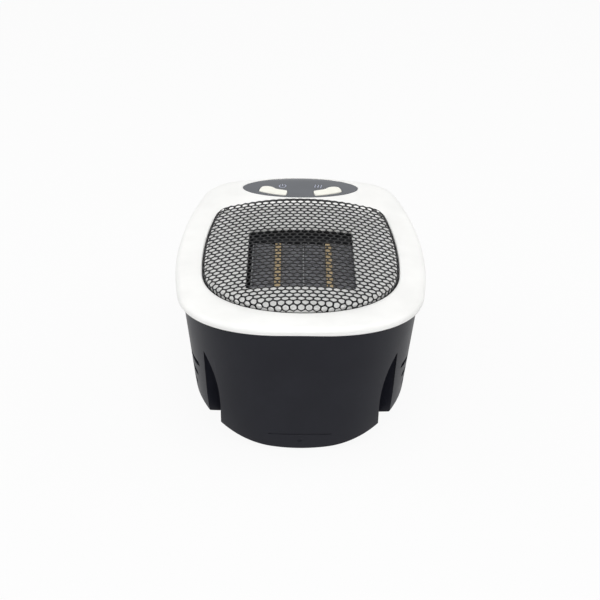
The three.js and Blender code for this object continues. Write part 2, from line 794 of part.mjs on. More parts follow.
function deck() {
  const flangeFoot = deckFlangeTop - deckFlangeSheet;
  const plateau = deckRiserInset + deckRiserSlope;
  const outer = loft([
    ring(grilleOutline, -grilleFlange, flangeFoot),
    ring(grilleOutline, -grilleFlange, deckFlangeTop),
    ring(grilleOutline, deckLipInset, deckFlangeTop),
    ring(grilleOutline, deckLipInset, deckLipTop),
    ring(grilleOutline, deckLipInset + deckLipWall, deckLipTop),
    ring(grilleOutline, plateau, -deckDrop),
  ]);
  const hollow = loft([
    ring(grilleOutline, deckRiserInset + deckFlangeSheet, flangeFoot - overrun),
    ring(grilleOutline, plateau + deckFlangeSheet, deckUnderside),
  ]);
  const window = boxAt(windowWidth, windowLength, 2 * overrun + deckSheet, 0, windowShift, -deckDrop - deckSheet / 2);
  const bosses = [];
  const bores = [];
  for (const [sideX, sideY] of fourCorners) {
    const x = sideX * ductScrewX;
    const y = windowShift + sideY * ductScrewY;
    bosses.push(drumAt(postRadius, x, y, deckBossFoot, deckUnderside + deckSheet / 2));
    bores.push(drumAt(smallScrewRadius + gap, x, y, deckBossFoot - overrun, deckUnderside));
  }
  piece('outlet_deck', bentToGrille(cutBy(joined(outer.subtract(hollow), ...bosses), window, ...bores)), whitePlastic);
}

deck();

// Heating core

// A fin pack is one folded strip, seen from above as a zigzag along Y.
function finPack(x) {
  const folds = Math.round(finLength / finPitch);
  const step = (finLength - finSheet) / folds;
  const reach = finPackWidth / 2;
  const slant = finSheet * sqrt(1 + (2 * reach / step) ** 2);
  const rightSide = [];
  const leftSide = [];
  for (let fold = 0; fold <= folds; fold++) {
    const y = windowShift - finLength / 2 + finSheet / 2 + fold * step;
    const turnsRight = fold % 2 === 0;
    const outerX = turnsRight ? reach : -reach;
    const innerX = outerX - Math.sign(outerX) * slant * step / finPackWidth;
    if (turnsRight) {
      rightSide.push(new THREE.Vector2(x + outerX, y));
      leftSide.push(new THREE.Vector2(x + innerX, y));
    } else {
      rightSide.push(new THREE.Vector2(x + innerX, y));
      leftSide.push(new THREE.Vector2(x + outerX, y));
    }
  }
  return prismAt([...rightSide, ...leftSide.reverse()], coreTop - coreDepth, coreTop);
}
function heatingCore() {
  const packs = [
    ['fin_pack_outer_left', -1, stoneX + stoneWidth / 2 + gap + finPackWidth / 2],
    ['fin_pack_inner_left', -1, dividerWidth / 2 + gap + finPackWidth / 2],
    ['fin_pack_inner_right', 1, dividerWidth / 2 + gap + finPackWidth / 2],
    ['fin_pack_outer_right', 1, stoneX + stoneWidth / 2 + gap + finPackWidth / 2],
  ];
  for (const [name, side, x] of packs) piece(name, finPack(coreShift + side * x), darkFin);
  for (const [name, side] of [['left', -1], ['right', 1]]) {
    const x = coreShift + side * stoneX;
    piece(`ceramic_stone_${name}`, boxAt(stoneWidth, finLength, coreDepth, x, windowShift, coreMiddle), ceramicBeige);
    const plateX = coreShift + side * (coreHalfWidth - corePlate / 2);
    piece(`core_plate_${name}`, boxAt(corePlate, finLength, coreDepth, plateX, windowShift, coreMiddle), bareAluminium);
    const tabNear = windowShift + coreHalfLength + gap;
    piece(`heater_terminal_${name}`, boxAt(terminalWidth, terminalLength, terminalSheet,
      x, tabNear + terminalLength / 2, coreMiddle), brass);
  }
  piece('core_divider', boxAt(dividerWidth, finLength, coreDepth, coreShift, windowShift, coreMiddle), bareAluminium);
  for (const [name, side] of [['near', -1], ['far', 1]]) {
    const y = windowShift + side * (finLength / 2 + gap + (coreCapLength - gap) / 2);
    piece(`core_cap_${name}`, boxAt(2 * coreHalfWidth, coreCapLength - gap, coreDepth + capLip, coreShift, y,
      coreMiddle + capLip / 2), heatPlastic);
  }
}
heatingCore();

// Air duct: a square collar round the core that widens to the round fan shroud

const shroudTop = collarFoot - ductTaper;
const shroudFoot = shroudTop - shroudDepth;
const shroudInner = fanRadius + fanRunning;

// Rings with the same count round a rectangle and round a circle, so that one can meet the other.
function squareRing(halfX, halfY, height) {
  const points = [];
  for (let side = 0; side < 4; side++) {
    for (let step = 0; step < shroudSideSteps; step++) {
      const along = lerp(-1, 1, step / shroudSideSteps);
      const corner = [[along, -1], [1, along], [-along, 1], [-1, -along]][side];
      const x = corner[0] * halfX;
      const y = corner[1] * halfY + windowShift;
      points.push(new THREE.Vector3(x, y, typeof height === 'function' ? height(x) : height));
    }
  }
  return points;
}

function roundRing(radius, z) {
  return Array.from({ length: 4 * shroudSideSteps }, (unused, i) => {
    const angle = (PI / 2) * (i / shroudSideSteps) - (3 * PI) / 4;
    return new THREE.Vector3(radius * cos(angle), windowShift + radius * sin(angle), z);
  });
}

function duct() {
  const collarTop = (x) => deckUnderside - crownDrop(x) - gap;
  const flangeFoot = ductFlangeTop - ductFlangeSheet;
  const body = loft([
    squareRing(collarX + ductWall, collarY + ductWall, collarTop),
    squareRing(collarX + ductWall, collarY + ductWall, ductFlangeTop),
    squareRing(collarX + ductFlangeReach, collarY + ductWall, ductFlangeTop),
    squareRing(collarX + ductFlangeReach, collarY + ductWall, flangeFoot),
    squareRing(collarX + ductWall, collarY + ductWall, flangeFoot),
    squareRing(collarX + ductWall, collarY + ductWall, collarFoot),
    roundRing(shroudInner + ductWall, shroudTop),
    roundRing(shroudInner + ductWall, shroudFoot),
    roundRing(shroudInner, shroudFoot),
    roundRing(shroudInner, shroudTop),
    squareRing(collarX, collarY, collarFoot),
    squareRing(collarX, collarY, collarTop),
  ], true);
  const cuts = fourCorners.map(([sideX, sideY]) =>
    drumAt(smallScrewRadius + gap, sideX * ductScrewX, windowShift + sideY * ductScrewY,
      flangeFoot - overrun, ductFlangeTop + overrun));
  for (const side of bothSides) {
    cuts.push(boxAt(terminalWidth + 2 * gap, 2 * ductWall, terminalSheet + 2 * gap,
      coreShift + side * stoneX, windowShift + collarY + ductWall / 2, coreMiddle));
  }
  piece('fan_duct', cutBy(body, ...cuts), heatPlastic);
  fourCorners.forEach(([sideX, sideY], index) => {
    placedScrew(`duct_screw_${index + 1}`, boardScrew, sideX * ductScrewX, windowShift + sideY * ductScrewY,
      flangeFoot - gap);
  });
}

duct();

// Fan: a hub cup with twisted blades, turned by a small motor on a spider bracket

const hubTop = shroudTop + gap;
const bracketTop = shroudFoot - gap;

function blade() {
  const rings = [];
  for (let step = 0; step <= bladeSteps; step++) {
    const share = step / bladeSteps;
    const radius = lerp(hubRadius - hubWall / 2, fanRadius, share);
    const pitch = radians(lerp(bladeRootDegrees, bladeTipDegrees, share));
    const half = (bladeChord / 2) * lerp(bladeRootShare, 1, share);
    const section = bladeSectionShares.map(([along, across]) => {
      const forward = along * half;
      const up = across * bladeSheet;
      const sweep = forward * cos(pitch) - up * sin(pitch);
      const angle = sweep / radius;
      const z = forward * sin(pitch) + up * cos(pitch);
      return new THREE.Vector3(radius * cos(angle), radius * sin(angle), z);
    });
    rings.push(section);
  }
  return toGeometry(loft(rings));
}

function fan() {
  const cup = turned([[shaftRadius + gap, 0], [hubRadius - hubWall, 0], [hubRadius, -hubWall], [hubRadius, -hubDepth],
    [hubRadius - hubWall, -hubDepth], [hubRadius - hubWall, -hubWall], [motorBossRadius, -hubWall],
    [motorBossRadius, -hubDepth], [shaftRadius + gap, -hubDepth], [shaftRadius + gap, 0]]);
  const blades = Array.from({ length: bladeCount }, (unused, index) => {
    const turn = (2 * PI * index) / bladeCount;
    return toSolid(blade().rotateZ(turn).translate(0, 0, -hubDepth / 2));
  });
  piece('fan_rotor', joined(cup, ...blades), blackPlastic).position.set(0, windowShift, hubTop);
  const motorTop = bracketTop - bracketSheet - gap;
  piece('motor_shaft', drumAt(shaftRadius, 0, windowShift, motorTop - motorBossDepth, hubTop - gap), steel);
  const ringRadius = shroudInner + ductWall;
  let bracket = drumAt(ringRadius, 0, windowShift, bracketTop - bracketSheet, bracketTop, shroudSides)
    .subtract(drumAt(shroudInner, 0, windowShift, bracketTop - overrun - bracketSheet, 0, shroudSides));
  for (let arm = 0; arm < bracketArms; arm++) {
    const shape = new THREE.BoxGeometry(shroudInner, bracketArmWidth, bracketSheet);
    shape.translate(shroudInner / 2, 0, bracketTop - bracketSheet / 2);
    bracket = bracket.add(toSolid(shape.rotateZ((PI / 2) * (arm + 0.5)).translate(0, windowShift, 0)));
  }
  bracket = bracket.add(drumAt(motorRadius, 0, windowShift, bracketTop - bracketSheet, bracketTop, hubSides));
  bracket = bracket.subtract(drumAt(shaftRadius + gap, 0, windowShift, bracketTop - overrun - bracketSheet, 0));
  piece('motor_bracket', bracket, heatPlastic);
  const can = turned([[0, -motorDepth], [motorRadius - motorBossDepth, -motorDepth], [motorRadius, -motorDepth + motorEdge],
    [motorRadius, 0], [shaftRadius + gap, 0], [shaftRadius + gap, -motorBossDepth - gap], [0, -motorBossDepth - gap]]);
  piece('fan_motor', can, steel).position.set(0, windowShift, motorTop);
}

fan();

// Rear shell: a drafted wall under the bezel, closed by a back that is domed across X

function extrudedAlongY(points, nearY, farY) {
  return prismAlong(points, nearY, farY, (geometry) => geometry.rotateX(PI / 2).translate(0, farY, 0));
}

function prismAlong(points, from, to, place) {
  const geometry = new THREE.ExtrudeGeometry(new THREE.Shape(points), { depth: to - from, bevelEnabled: false });
  return toSolid(place(geometry));
}

function shellForm(inset, lift) {
  const wall = loft([
    ring(shellOutline, (place) => inset + draftAt(shellLow, place.normal.x ** 2), shellLow),
    ring(shellOutline, (place) => inset + draftAt(shellRim(place.x), place.normal.x ** 2), (x) => shellRim(x) + lift),
  ]);
  const radius = backDomeRadius - inset;
  const section = [];
  for (let step = 0; step <= domeSteps; step++) {
    const x = lerp(-bodyWidth / 2, bodyWidth / 2, step / domeSteps);
    section.push(new THREE.Vector2(x, -bodyDepth + inset + crownDrop(x, radius)));
  }
  section.push(new THREE.Vector2(bodyWidth / 2, overrun), new THREE.Vector2(-bodyWidth / 2, overrun));
  return wall.intersect(extrudedAlongY(section, -bodyLength / 2, bodyLength / 2));
}

// The pointed recess, with its straight outer side and its curved inner side.
function recessPoints(side, offset) {
  const apex = new THREE.Vector2(recessOuterX + recessLean + offset / 2, -recessTopDrop + 2 * offset);
  const foot = new THREE.Vector2(recessInnerX - offset, -recessCurveDrop);
  const bow = new THREE.Vector2(recessInnerX - recessBowReach - offset, -recessBowDrop);
  const curve = new THREE.QuadraticBezierCurve(apex, bow, foot).getPoints(recessSteps);
  const low = shellLow - overrun;
  const points = [...curve, new THREE.Vector2(recessInnerX - offset, low),
    new THREE.Vector2(recessOuterX + offset, low)];
  return points.map((point) => new THREE.Vector2(side * point.x, point.y));
}

// Cuts in from the near end to a floor that goes deeper toward the middle.
function recessAt(side, offset) {
  const nearY = -bodyLength / 2 - overrun - recessFloorSlope * (recessWidth + offset);
  return extrudedAlongY(recessPoints(side, offset), nearY, recessEdgeY + offset).warp((point) => {
    point[1] += recessFloorSlope * (recessOuterX - side * point[0]);
  });
}

// An air slot with pointed ends, seen from the side.
function slotPoints(nearY, farY, z) {
  const tip = slotHeight;
  const half = slotHeight / 2;
  return [[nearY, z - half * slotTipShare], [nearY + tip, z - half], [farY - tip, z - half], [farY, z],
    [farY - tip, z + half], [nearY + tip * slotTipShare, z + half]].map(([y, height]) => new THREE.Vector2(y, height));
}

const powerPosts = fourCorners.map(([sideX, sideY]) => [
  sideX * (powerBoardWidth / 2 - powerPostInset),
  (powerBoardNearY + powerBoardFarY) / 2 + sideY * ((powerBoardFarY - powerBoardNearY) / 2 - powerPostInset),
]);
const powerPostTop = -powerBoardDrop - boardSheet - gap;

function rearShell() {
  const outer = shellForm(0, 0);
  const hollow = shellForm(shellWall, overrun);
  const inside = [];
  const cuts = [];
  for (const side of bothSides) {
    inside.push(recessAt(side, shellWall));
    cuts.push(recessAt(side, 0));
    inside.push(drumAt(caseBossRadius, side * caseScrewX, caseScrewY, shellLow, -caseBossDrop));
    cuts.push(drumAt(screwRadius + gap, side * caseScrewX, caseScrewY, shellLow, overrun));
    cuts.push(drumAt(screwHeadRadius + gap, side * caseScrewX, caseScrewY, shellLow, -caseHeadDrop));
    for (let slot = 0; slot < slotCount; slot++) {
      const points = slotPoints(slotNearY + slot * slotStagger, slotFarY, -slotTopDrop - slot * slotPitch);
      const from = side > 0 ? slotInnerX : -bodyWidth / 2;
      cuts.push(prismAlong(points, from, from + bodyWidth / 2 - slotInnerX, (geometry) =>
        geometry.rotateY(PI / 2).rotateX(PI / 2).translate(from, 0, 0)));
    }
  }
  for (const [x, y] of powerPosts) {
    inside.push(drumAt(postRadius, x, y, shellLow, powerPostTop));
    cuts.push(drumAt(smallScrewRadius + gap, x, y, powerPostTop - smallScrewLength, overrun));
  }
  cuts.push(drumAt(guardRadius + gap, 0, windowShift, shellLow, shroudFoot, guardSides));
  cuts.push(boxAt(inletWidth + 2 * gap, inletLength + 2 * gap, inletDepth, 0, inletY, -bodyDepth));
  const shell = cutBy(joined(outer.subtract(hollow), ...inside.map((form) => form.intersect(outer))), ...cuts);
  piece('rear_shell', shell, blackPlastic);
  const screw = screwShape(screwRadius, screwHeadRadius, screwHeadHeight, caseScrewLength);
  placedScrew('case_screw_left', screw, -caseScrewX, caseScrewY, -caseHeadDrop - gap);
  placedScrew('case_screw_right', screw, caseScrewX, caseScrewY, -caseHeadDrop - gap);
}
rearShell();

// Rear guard: a short drum with a flat rim and barred floor

function rearGuard() {
  const foot = -bodyDepth - guardStand;
  const top = bracketTop - bracketSheet - gap;
  const inner = guardRadius - guardRim;
  let guard = turned([[0, foot + guardStand], [inner, foot + guardStand], [inner + guardStand, foot], [guardRadius, foot],
    [guardRadius, top], [inner, top],
    [inner, foot + guardStand + guardSheet], [0, foot + guardStand + guardSheet]], guardSides);
  const rows = Math.floor((inner - guardSlotWidth) / guardSlotPitch);
  const half = guardRib / 2;
  for (let row = -rows; row <= rows; row++) {
    const y = row * guardSlotPitch;
    const reach = sqrt((inner - guardRim / 2) ** 2 - (Math.abs(y) + guardSlotWidth / 2) ** 2);
    for (const side of bothSides) {
      const cut = boxAt(reach - half, guardSlotWidth, inletDepth, side * (half + reach) / 2, y, foot);
      guard = guard.subtract(cut);
    }
  }
  piece('rear_guard', guard, blackPlastic).position.set(0, windowShift, 0);
}
rearGuard();

// Power inlet with its figure-of-eight socket and two pins

function powerInlet() {
  const foot = -bodyDepth + inletSetback;
  const block = boxAt(inletWidth, inletLength, inletDepth, 0, inletY, foot + inletDepth / 2);
  const flangeLow = -bodyDepth + shellWall + crownDrop(inletWidth / 2 + inletFlange, backDomeRadius) + gap;
  const flange = boxAt(inletWidth + 2 * inletFlange, inletLength + inletFlange, shellWall,
    0, inletY, flangeLow + shellWall / 2);
  const bores = [];
  for (const [name, side] of [['left', -1], ['right', 1]]) {
    const x = (side * pinSpacing) / 2;
    bores.push(drumAt(socketRadius, x, inletY, foot - overrun, foot + socketDepth));
    bores.push(drumAt(pinRadius + gap, x, inletY, foot, foot + inletDepth + overrun));
    piece(`inlet_pin_${name}`, drumAt(pinRadius, x, inletY, foot + overrun, foot + inletDepth + pinTail), brass);
  }
  bores.push(boxAt(pinSpacing, socketRadius * socketWaistShare * 2, 2 * socketDepth, 0, inletY, foot));
  piece('power_inlet', cutBy(joined(block, flange), ...bores), heatPlastic);
}
powerInlet();

// Power board and what stands on it

function powerBoard() {
  const middleY = (powerBoardNearY + powerBoardFarY) / 2;
  const board = boxAt(powerBoardWidth, powerBoardFarY - powerBoardNearY, boardSheet,
    0, middleY, -powerBoardDrop - boardSheet / 2);
  const holes = powerPosts.map(([x, y]) =>
    drumAt(smallScrewRadius + gap, x, y, -powerBoardDrop - overrun, 0));
  piece('power_board', cutBy(board, ...holes), boardGreen);
  powerPosts.forEach(([x, y], index) => {
    const screw = piece(`power_screw_${index + 1}`, boardScrew, steel);
    screw.rotation.x = PI;
    screw.position.set(x, y, -powerBoardDrop + gap);
  });
  const foot = -powerBoardDrop + gap;
  for (const [name, { width, length, height, xShare, yShare, colour }] of Object.entries(boardParts)) {
    const x = (xShare * powerBoardWidth) / 2;
    const y = lerp(powerBoardNearY, powerBoardFarY, yShare);
    piece(name, boxAt(width, length, height, x, y, foot + height / 2), colour);
  }
  const canX = (smoothingXShare * powerBoardWidth) / 2;
  const canY = lerp(powerBoardNearY, powerBoardFarY, smoothingYShare);
  piece('smoothing_capacitor', drumAt(smoothingRadius, canX, canY, foot, foot + smoothingHeight), componentBlue);
}

powerBoard();

// Safety parts: a thermostat and a thermal fuse on the duct's near wall, and a tilt switch

function safetyParts() {
  const wallY = windowShift - collarY - ductWall - gap;
  const disc = turned([[0, 0], [thermostatRadius, 0], [thermostatRadius, thermostatBase],
    [thermostatCapRadius, thermostatBase], [thermostatCapRadius, thermostatDepth], [0, thermostatDepth]]);
  const thermostat = piece('thermostat', disc, steel);
  thermostat.rotation.x = PI / 2;
  thermostat.position.set(thermostatX, wallY, coreMiddle);
  const fuse = piece('thermal_fuse', drumAt(fuseRadius, 0, 0, 0, fuseLength), bareAluminium);
  fuse.rotation.y = PI / 2;
  fuse.position.set(-thermostatX - fuseLength, wallY - fuseRadius, coreMiddle);
  const tiltTop = -controlBoardDrop - boardSheet - gap;
  piece('tilt_switch', boxAt(tiltSwitchSize, tiltSwitchSize, tiltSwitchHeight,
    0, switchPointY, tiltTop - tiltSwitchHeight / 2), heatPlastic);
}

safetyParts();

export default heater;
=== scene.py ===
"""A small ceramic fan heater on its back, with a smooth casing, a fine honeycomb grille and moulded finishes.

Shapes are drawn in millimetres with z = 0 on the crown of the face, as the solids are, and settle() moves
them into the frame, which is in metres.
"""

import math

import bmesh
import bpy
import numpy as np
from mathutils import Matrix, Vector


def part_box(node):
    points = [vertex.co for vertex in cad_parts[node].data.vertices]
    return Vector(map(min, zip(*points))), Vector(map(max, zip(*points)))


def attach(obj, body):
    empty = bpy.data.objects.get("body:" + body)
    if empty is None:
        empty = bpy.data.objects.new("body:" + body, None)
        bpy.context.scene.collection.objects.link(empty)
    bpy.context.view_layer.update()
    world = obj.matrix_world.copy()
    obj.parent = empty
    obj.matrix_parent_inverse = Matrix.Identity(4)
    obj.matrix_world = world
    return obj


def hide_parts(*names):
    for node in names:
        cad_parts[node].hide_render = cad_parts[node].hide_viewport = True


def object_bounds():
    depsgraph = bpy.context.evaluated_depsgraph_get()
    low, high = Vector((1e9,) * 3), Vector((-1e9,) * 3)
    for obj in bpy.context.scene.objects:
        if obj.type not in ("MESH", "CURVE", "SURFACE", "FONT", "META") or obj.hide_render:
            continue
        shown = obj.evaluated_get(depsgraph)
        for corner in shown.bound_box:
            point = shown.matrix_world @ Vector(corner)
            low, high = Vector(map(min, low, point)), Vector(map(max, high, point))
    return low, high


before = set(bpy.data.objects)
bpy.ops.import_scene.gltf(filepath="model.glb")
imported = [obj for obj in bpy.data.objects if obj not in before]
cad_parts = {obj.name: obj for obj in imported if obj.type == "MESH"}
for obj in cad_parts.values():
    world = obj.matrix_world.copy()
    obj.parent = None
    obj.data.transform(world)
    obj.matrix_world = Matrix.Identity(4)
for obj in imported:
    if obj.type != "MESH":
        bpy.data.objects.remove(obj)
cad_low, cad_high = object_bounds()

MM = 0.001
FACE_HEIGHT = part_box("front_bezel")[1].z / MM
GAP = 0.3
OVERRUN = 2.0
SMOOTH_DEGREES = 32
GRILLE_SMOOTH_DEGREES = 50

# Camera, matched to the photograph
CAMERA_ELEVATION = 30
CAMERA_ROLL = 0.8
CAMERA_TURN = -0.54
CAMERA_REACH = 0.6021
CAMERA_RISE = 0.3122
CAMERA_LENS = 74.7

# Room, in metres, with the floor's colour as light finds it
FLOOR_REACH = 20.0
FLOOR_LIGHT_SHARE = 0.92
FLOOR_COLOUR = (0.75, 0.75, 0.75, 1)
WORLD_LIGHT = 0.36
LIGHTS = (
    # name, place, size, power
    ("overhead", (0.05, -0.1, 1.3), 0.9, 5.3),
    ("left_window", (-1.1, 0.2, 0.8), 0.9, 4.2),
    ("right_window", (1.1, 0.3, 0.8), 0.9, 3.7),
    ("front_window", (0, -1.2, 0.76), 0.1, 6.0),
)

# Body
BODY_WIDTH = (cad_high.x - cad_low.x) / MM
BODY_LENGTH = 179.8
BODY_DEPTH = 76.3
FACE_CROWN_RADIUS = 300
BACK_DOME_RADIUS = 112
BODY_FORM = dict(half_width=BODY_WIDTH / 2, side_radius=260, side_y=3,
                 near_y=-BODY_LENGTH / 2, near_radius=260, near_corner=57,
                 far_y=BODY_LENGTH / 2, far_radius=1600, far_corner=19)

# Bezel
BEZEL_SKIN = 2.4
BEZEL_SKIRT = 3.6
SKIRT_WALL = 2.4
ROLL_DROP = 2.6
ROLL_REACH = 3.0
FAR_ROLL_REACH = 8.0
FAR_BLEND_START = 45
OPENING_LIP = 0.8

# Grille
GRILLE_WIDTH = 105.6
GRILLE_LENGTH = 122.2
GRILLE_SHIFT = -12.4
GRILLE_RISE = 5.0
GRILLE_BEND = 2.5
GRILLE_SHEET = 0.7
GRILLE_FLANGE = 2.0
GRILLE_CROWN_RADIUS = 180
GRILLE_FORM = dict(half_width=GRILLE_WIDTH / 2, side_radius=240, side_y=-4,
                   near_y=GRILLE_SHIFT - GRILLE_LENGTH / 2, near_radius=220, near_corner=51.4,
                   far_y=GRILLE_SHIFT + GRILLE_LENGTH / 2, far_radius=700, far_corner=9)
CELL_PITCH = 4.0
CELL_HOLE = 3.3
CELL_SHEET = 0.4
CELL_POINTS = 12
CELL_CORNER_SHARE = 0.35
CELL_EDGE = 0.12
BAND_TOP = -0.6
BAND_STAND = 0.05

# Deck under the grille
DECK_DROP = 1.0
DECK_SHEET = 1.2
DECK_FLANGE_SHEET = 1.8
DECK_LIP_INSET = 1.1
DECK_LIP_WALL = 1.2
DECK_LIP_TOP = 1.4
DECK_LIP_EDGE = 0.3
DECK_RISER_INSET = 3.0
DECK_RISER_SLOPE = 1.5
WINDOW_WIDTH = 57
WINDOW_LENGTH = 65.5
WINDOW_SHIFT = -13
WINDOW_CORNER = 1.0

# Fins between the stones
FIN_PITCH = 1.5
FIN_SHEET = 0.25

# Shell
SHELL_WALL = 2.2
SHELL_OVERHANG = 2.2
SHELL_END_DRAFT = 3.8
SHELL_SIDE_DRAFT = 6.0
SHELL_FILLET = 0.8
SHELL_FORM = dict(half_width=BODY_WIDTH / 2 - SHELL_OVERHANG, side_radius=260, side_y=3,
                  near_y=SHELL_OVERHANG - BODY_LENGTH / 2, near_radius=260, near_corner=50,
                  far_y=BODY_LENGTH / 2 - SHELL_OVERHANG, far_radius=1600, far_corner=19)
RECESS_INNER_X = 41
RECESS_OUTER_X = 47.25
RECESS_LEAN = 2
RECESS_BOW_REACH = 0.8
RECESS_TOP_DROP = 27
RECESS_BOW_DROP = 40
RECESS_CURVE_DROP = 62
RECESS_EDGE_Y = -63.8
RECESS_FLOOR_SLOPE = 0.56
RECESS_APEX_SPREAD = 0.5
RECESS_APEX_RISE = 2
SLOT_HEIGHT = 3.0
SLOT_PITCH = 7.8
SLOT_TOP_DROP = 40
SLOT_NEAR_Y = -60.9
SLOT_STAGGER = 4
SLOT_FAR_Y = -24.4
SLOT_COUNT = 3
SLOT_INNER_X = 46
SLOT_TIP_SHARE = 0.4
GUARD_RADIUS = 46
GUARD_RIM = 3
GUARD_STAND = 0.8
GUARD_SHEET = 1.8
GUARD_RIB = 4
GUARD_SLOT = 4.4
GUARD_SLOT_CORNER = GUARD_SLOT / 3
GUARD_PITCH = 7.2
INLET_WIDTH = 25
INLET_LENGTH = 14.5
INLET_DEPTH = 18
INLET_Y = -71
CASE_SCREW_X = 45
CASE_SCREW_Y = 62
CASE_BOSS_RADIUS = 5
CASE_BOSS_DROP = 16
CASE_HEAD_DROP = 26
SCREW_BORE = 1.8
SCREW_HEAD_BORE = 3.5
GROOVE_HALF_WIDTH = 18
GROOVE_DROP = 66.6
GROOVE_HEIGHT = 1.0
GROOVE_DEPTH = 0.35
DIMPLE_RADIUS = 1.1
DIMPLE_DROP = 70.6

# Control panel and buttons
PANEL_HALF_WIDTH = 34.5
PANEL_TIP_Y = 76.5
PANEL_LOW_Y = 58.5
PANEL_HIGH_Y = 86.5
PANEL_FULLNESS = 0.8
BUTTON_CENTRE_Y = 100.5
BUTTON_OUTER = 40
BUTTON_INNER = 32
BUTTON_START = math.radians(12.5)
BUTTON_END = math.radians(38)
BUTTON_PROUD = 0.5
# The button's end and top as shares of its depth, from the outer arc inward, and of its length
BUTTON_TOP_SHARES = ((0.6, 1.1), (0.28, 1.13), (0.04, 1.0), (-0.02, 0.82),
                     (0.03, 0.66), (0.2, 0.5), (0.2, 0.1), (0.3, 0))
# Offsets and heights of the rings of its cap, from the face up
BUTTON_EDGE = ((0, 0), (-0.05, 0.25), (-0.2, 0.42), (-0.5, BUTTON_PROUD), (-1.4, BUTTON_PROUD))
BUTTON_FLANGE_SHEET = 1.0
BUTTON_FLANGE_LIP = 0.9
BUTTON_STEM_RADIUS = 2.2
BUTTON_STEM_X = 15
BUTTON_STEM_Y = 67
ICON_X = 10.6
ICON_Y = 74.6
ICON_SIZE = 2.0
ICON_LINE = 0.42
ICON_STAND = 0.06
POWER_MARK_START = math.radians(120)
POWER_MARK_END = math.radians(420)
POWER_MARK_STROKE = (0.2, 0.7, 1.2)
HEAT_MARK_SHIFTS = (-0.9, 0, 0.9)
HEAT_MARK_SWING = 0.3

# Curve steps and mesh distances
OUTLINE_STEPS = (12, 34, 18, 18, 12)
GRILLE_STEP_FACTOR = 8
SPARE_CELLS = 3
ROLL_STEPS = 8
SPREAD_STEPS = 9
LIP_STEPS = 4
WALL_STEPS = 6
FILLET_STEPS = 5
ROUND_SIDES = 96
SMALL_SIDES = 32
PANEL_STEPS = 48
BUTTON_STEPS = 16
RECESS_STEPS = 24
POWER_MARK_STEPS = 24
HEAT_MARK_STEPS = 16
CORNER_STEPS = 6
ROUNDING_PASSES = 2
ROUNDING_SHARE = 0.25
NEAREST_SAMPLES = 4000
MERGE_DISTANCE = CELL_EDGE / 10
SLIVER_LENGTH = CELL_EDGE / 100


# Meshes

def solid(name, points, faces):
    mesh = bpy.data.meshes.new(name)
    mesh.from_pydata(np.asarray(points, float).tolist(), [], [tuple(map(int, face)) for face in faces])
    made = bpy.data.objects.new(name, mesh)
    bpy.context.scene.collection.objects.link(made)
    shape = bmesh.new()
    shape.from_mesh(mesh)
    bmesh.ops.recalc_face_normals(shape, faces=shape.faces)
    shape.to_mesh(mesh)
    shape.free()
    return made


def loft(name, rings, closed=False):
    """Rings of equal count joined by quads. An open stack gets a fan at each end."""
    rings = [np.asarray(ring, float) for ring in rings]
    count = len(rings[0])
    points = np.concatenate(rings)
    stacks = len(rings) if closed else len(rings) - 1
    faces = []
    for level in range(stacks):
        low, high = level * count, (level + 1) % len(rings) * count
        faces += [(low + i, low + (i + 1) % count, high + (i + 1) % count, high + i) for i in range(count)]
    if not closed:
        for level in (0, len(rings) - 1):
            faces += [(len(points), level * count + i, level * count + (i + 1) % count) for i in range(count)]
            points = np.concatenate([points, rings[level].mean(axis=0)[None]])
    return solid(name, points, faces)


def level_ring(outline, z):
    outline = np.asarray(outline, float)
    heights = np.broadcast_to(z, len(outline))
    return np.column_stack([outline[:, :2], heights])


def prism(name, outline, low, high):
    return loft(name, [level_ring(outline, low), level_ring(outline, high)])


def circle(radius, x, y, sides=SMALL_SIDES):
    turns = np.arange(sides) * 2 * math.pi / sides
    return np.column_stack([x + radius * np.cos(turns), y + radius * np.sin(turns)])


def drum(name, radius, x, y, low, high, sides=SMALL_SIDES):
    return prism(name, circle(radius, x, y, sides), low, high)


def rounded_box(width, length, x, y, corner):
    points = []
    for quarter, (side_x, side_y) in enumerate(((1, 1), (-1, 1), (-1, -1), (1, -1))):
        for step in range(CORNER_STEPS + 1):
            turn = math.pi / 2 * (quarter + step / CORNER_STEPS)
            points.append((x + side_x * (width / 2 - corner) + corner * math.cos(turn),
                           y + side_y * (length / 2 - corner) + corner * math.sin(turn)))
    return np.array(points)


def bake(made):
    bpy.context.view_layer.update()
    graph = bpy.context.evaluated_depsgraph_get()
    mesh = bpy.data.meshes.new_from_object(made.evaluated_get(graph))
    made.modifiers.clear()
    bare = made.data
    made.data = mesh
    bpy.data.meshes.remove(bare)
    mesh.name = made.name
    return made


def carve(made, tools, operation="DIFFERENCE"):
    for tool in tools:
        modifier = made.modifiers.new("carve", "BOOLEAN")
        modifier.operation = operation
        modifier.solver = "MANIFOLD"
        modifier.object = tool
    bake(made)
    for tool in tools:
        bpy.data.objects.remove(tool)
    return made


def twin(made, name):
    copy = made.copy()
    copy.data = made.data.copy()
    copy.name = name
    bpy.context.scene.collection.objects.link(copy)
    return copy


def reshape(made, change):
    """Moves every point of a mesh by a function of all the points."""
    points = np.empty(len(made.data.vertices) * 3)
    made.data.vertices.foreach_get("co", points)
    made.data.vertices.foreach_set("co", change(points.reshape(-1, 3)).ravel())
    made.data.update()
    return made


def crown_drop(x, radius=FACE_CROWN_RADIUS):
    return radius - np.sqrt(radius ** 2 - np.square(x))


def bend_to_face(made):
    return reshape(made, lambda points: points - np.column_stack(
        [np.zeros((len(points), 2)), crown_drop(points[:, 0])]))


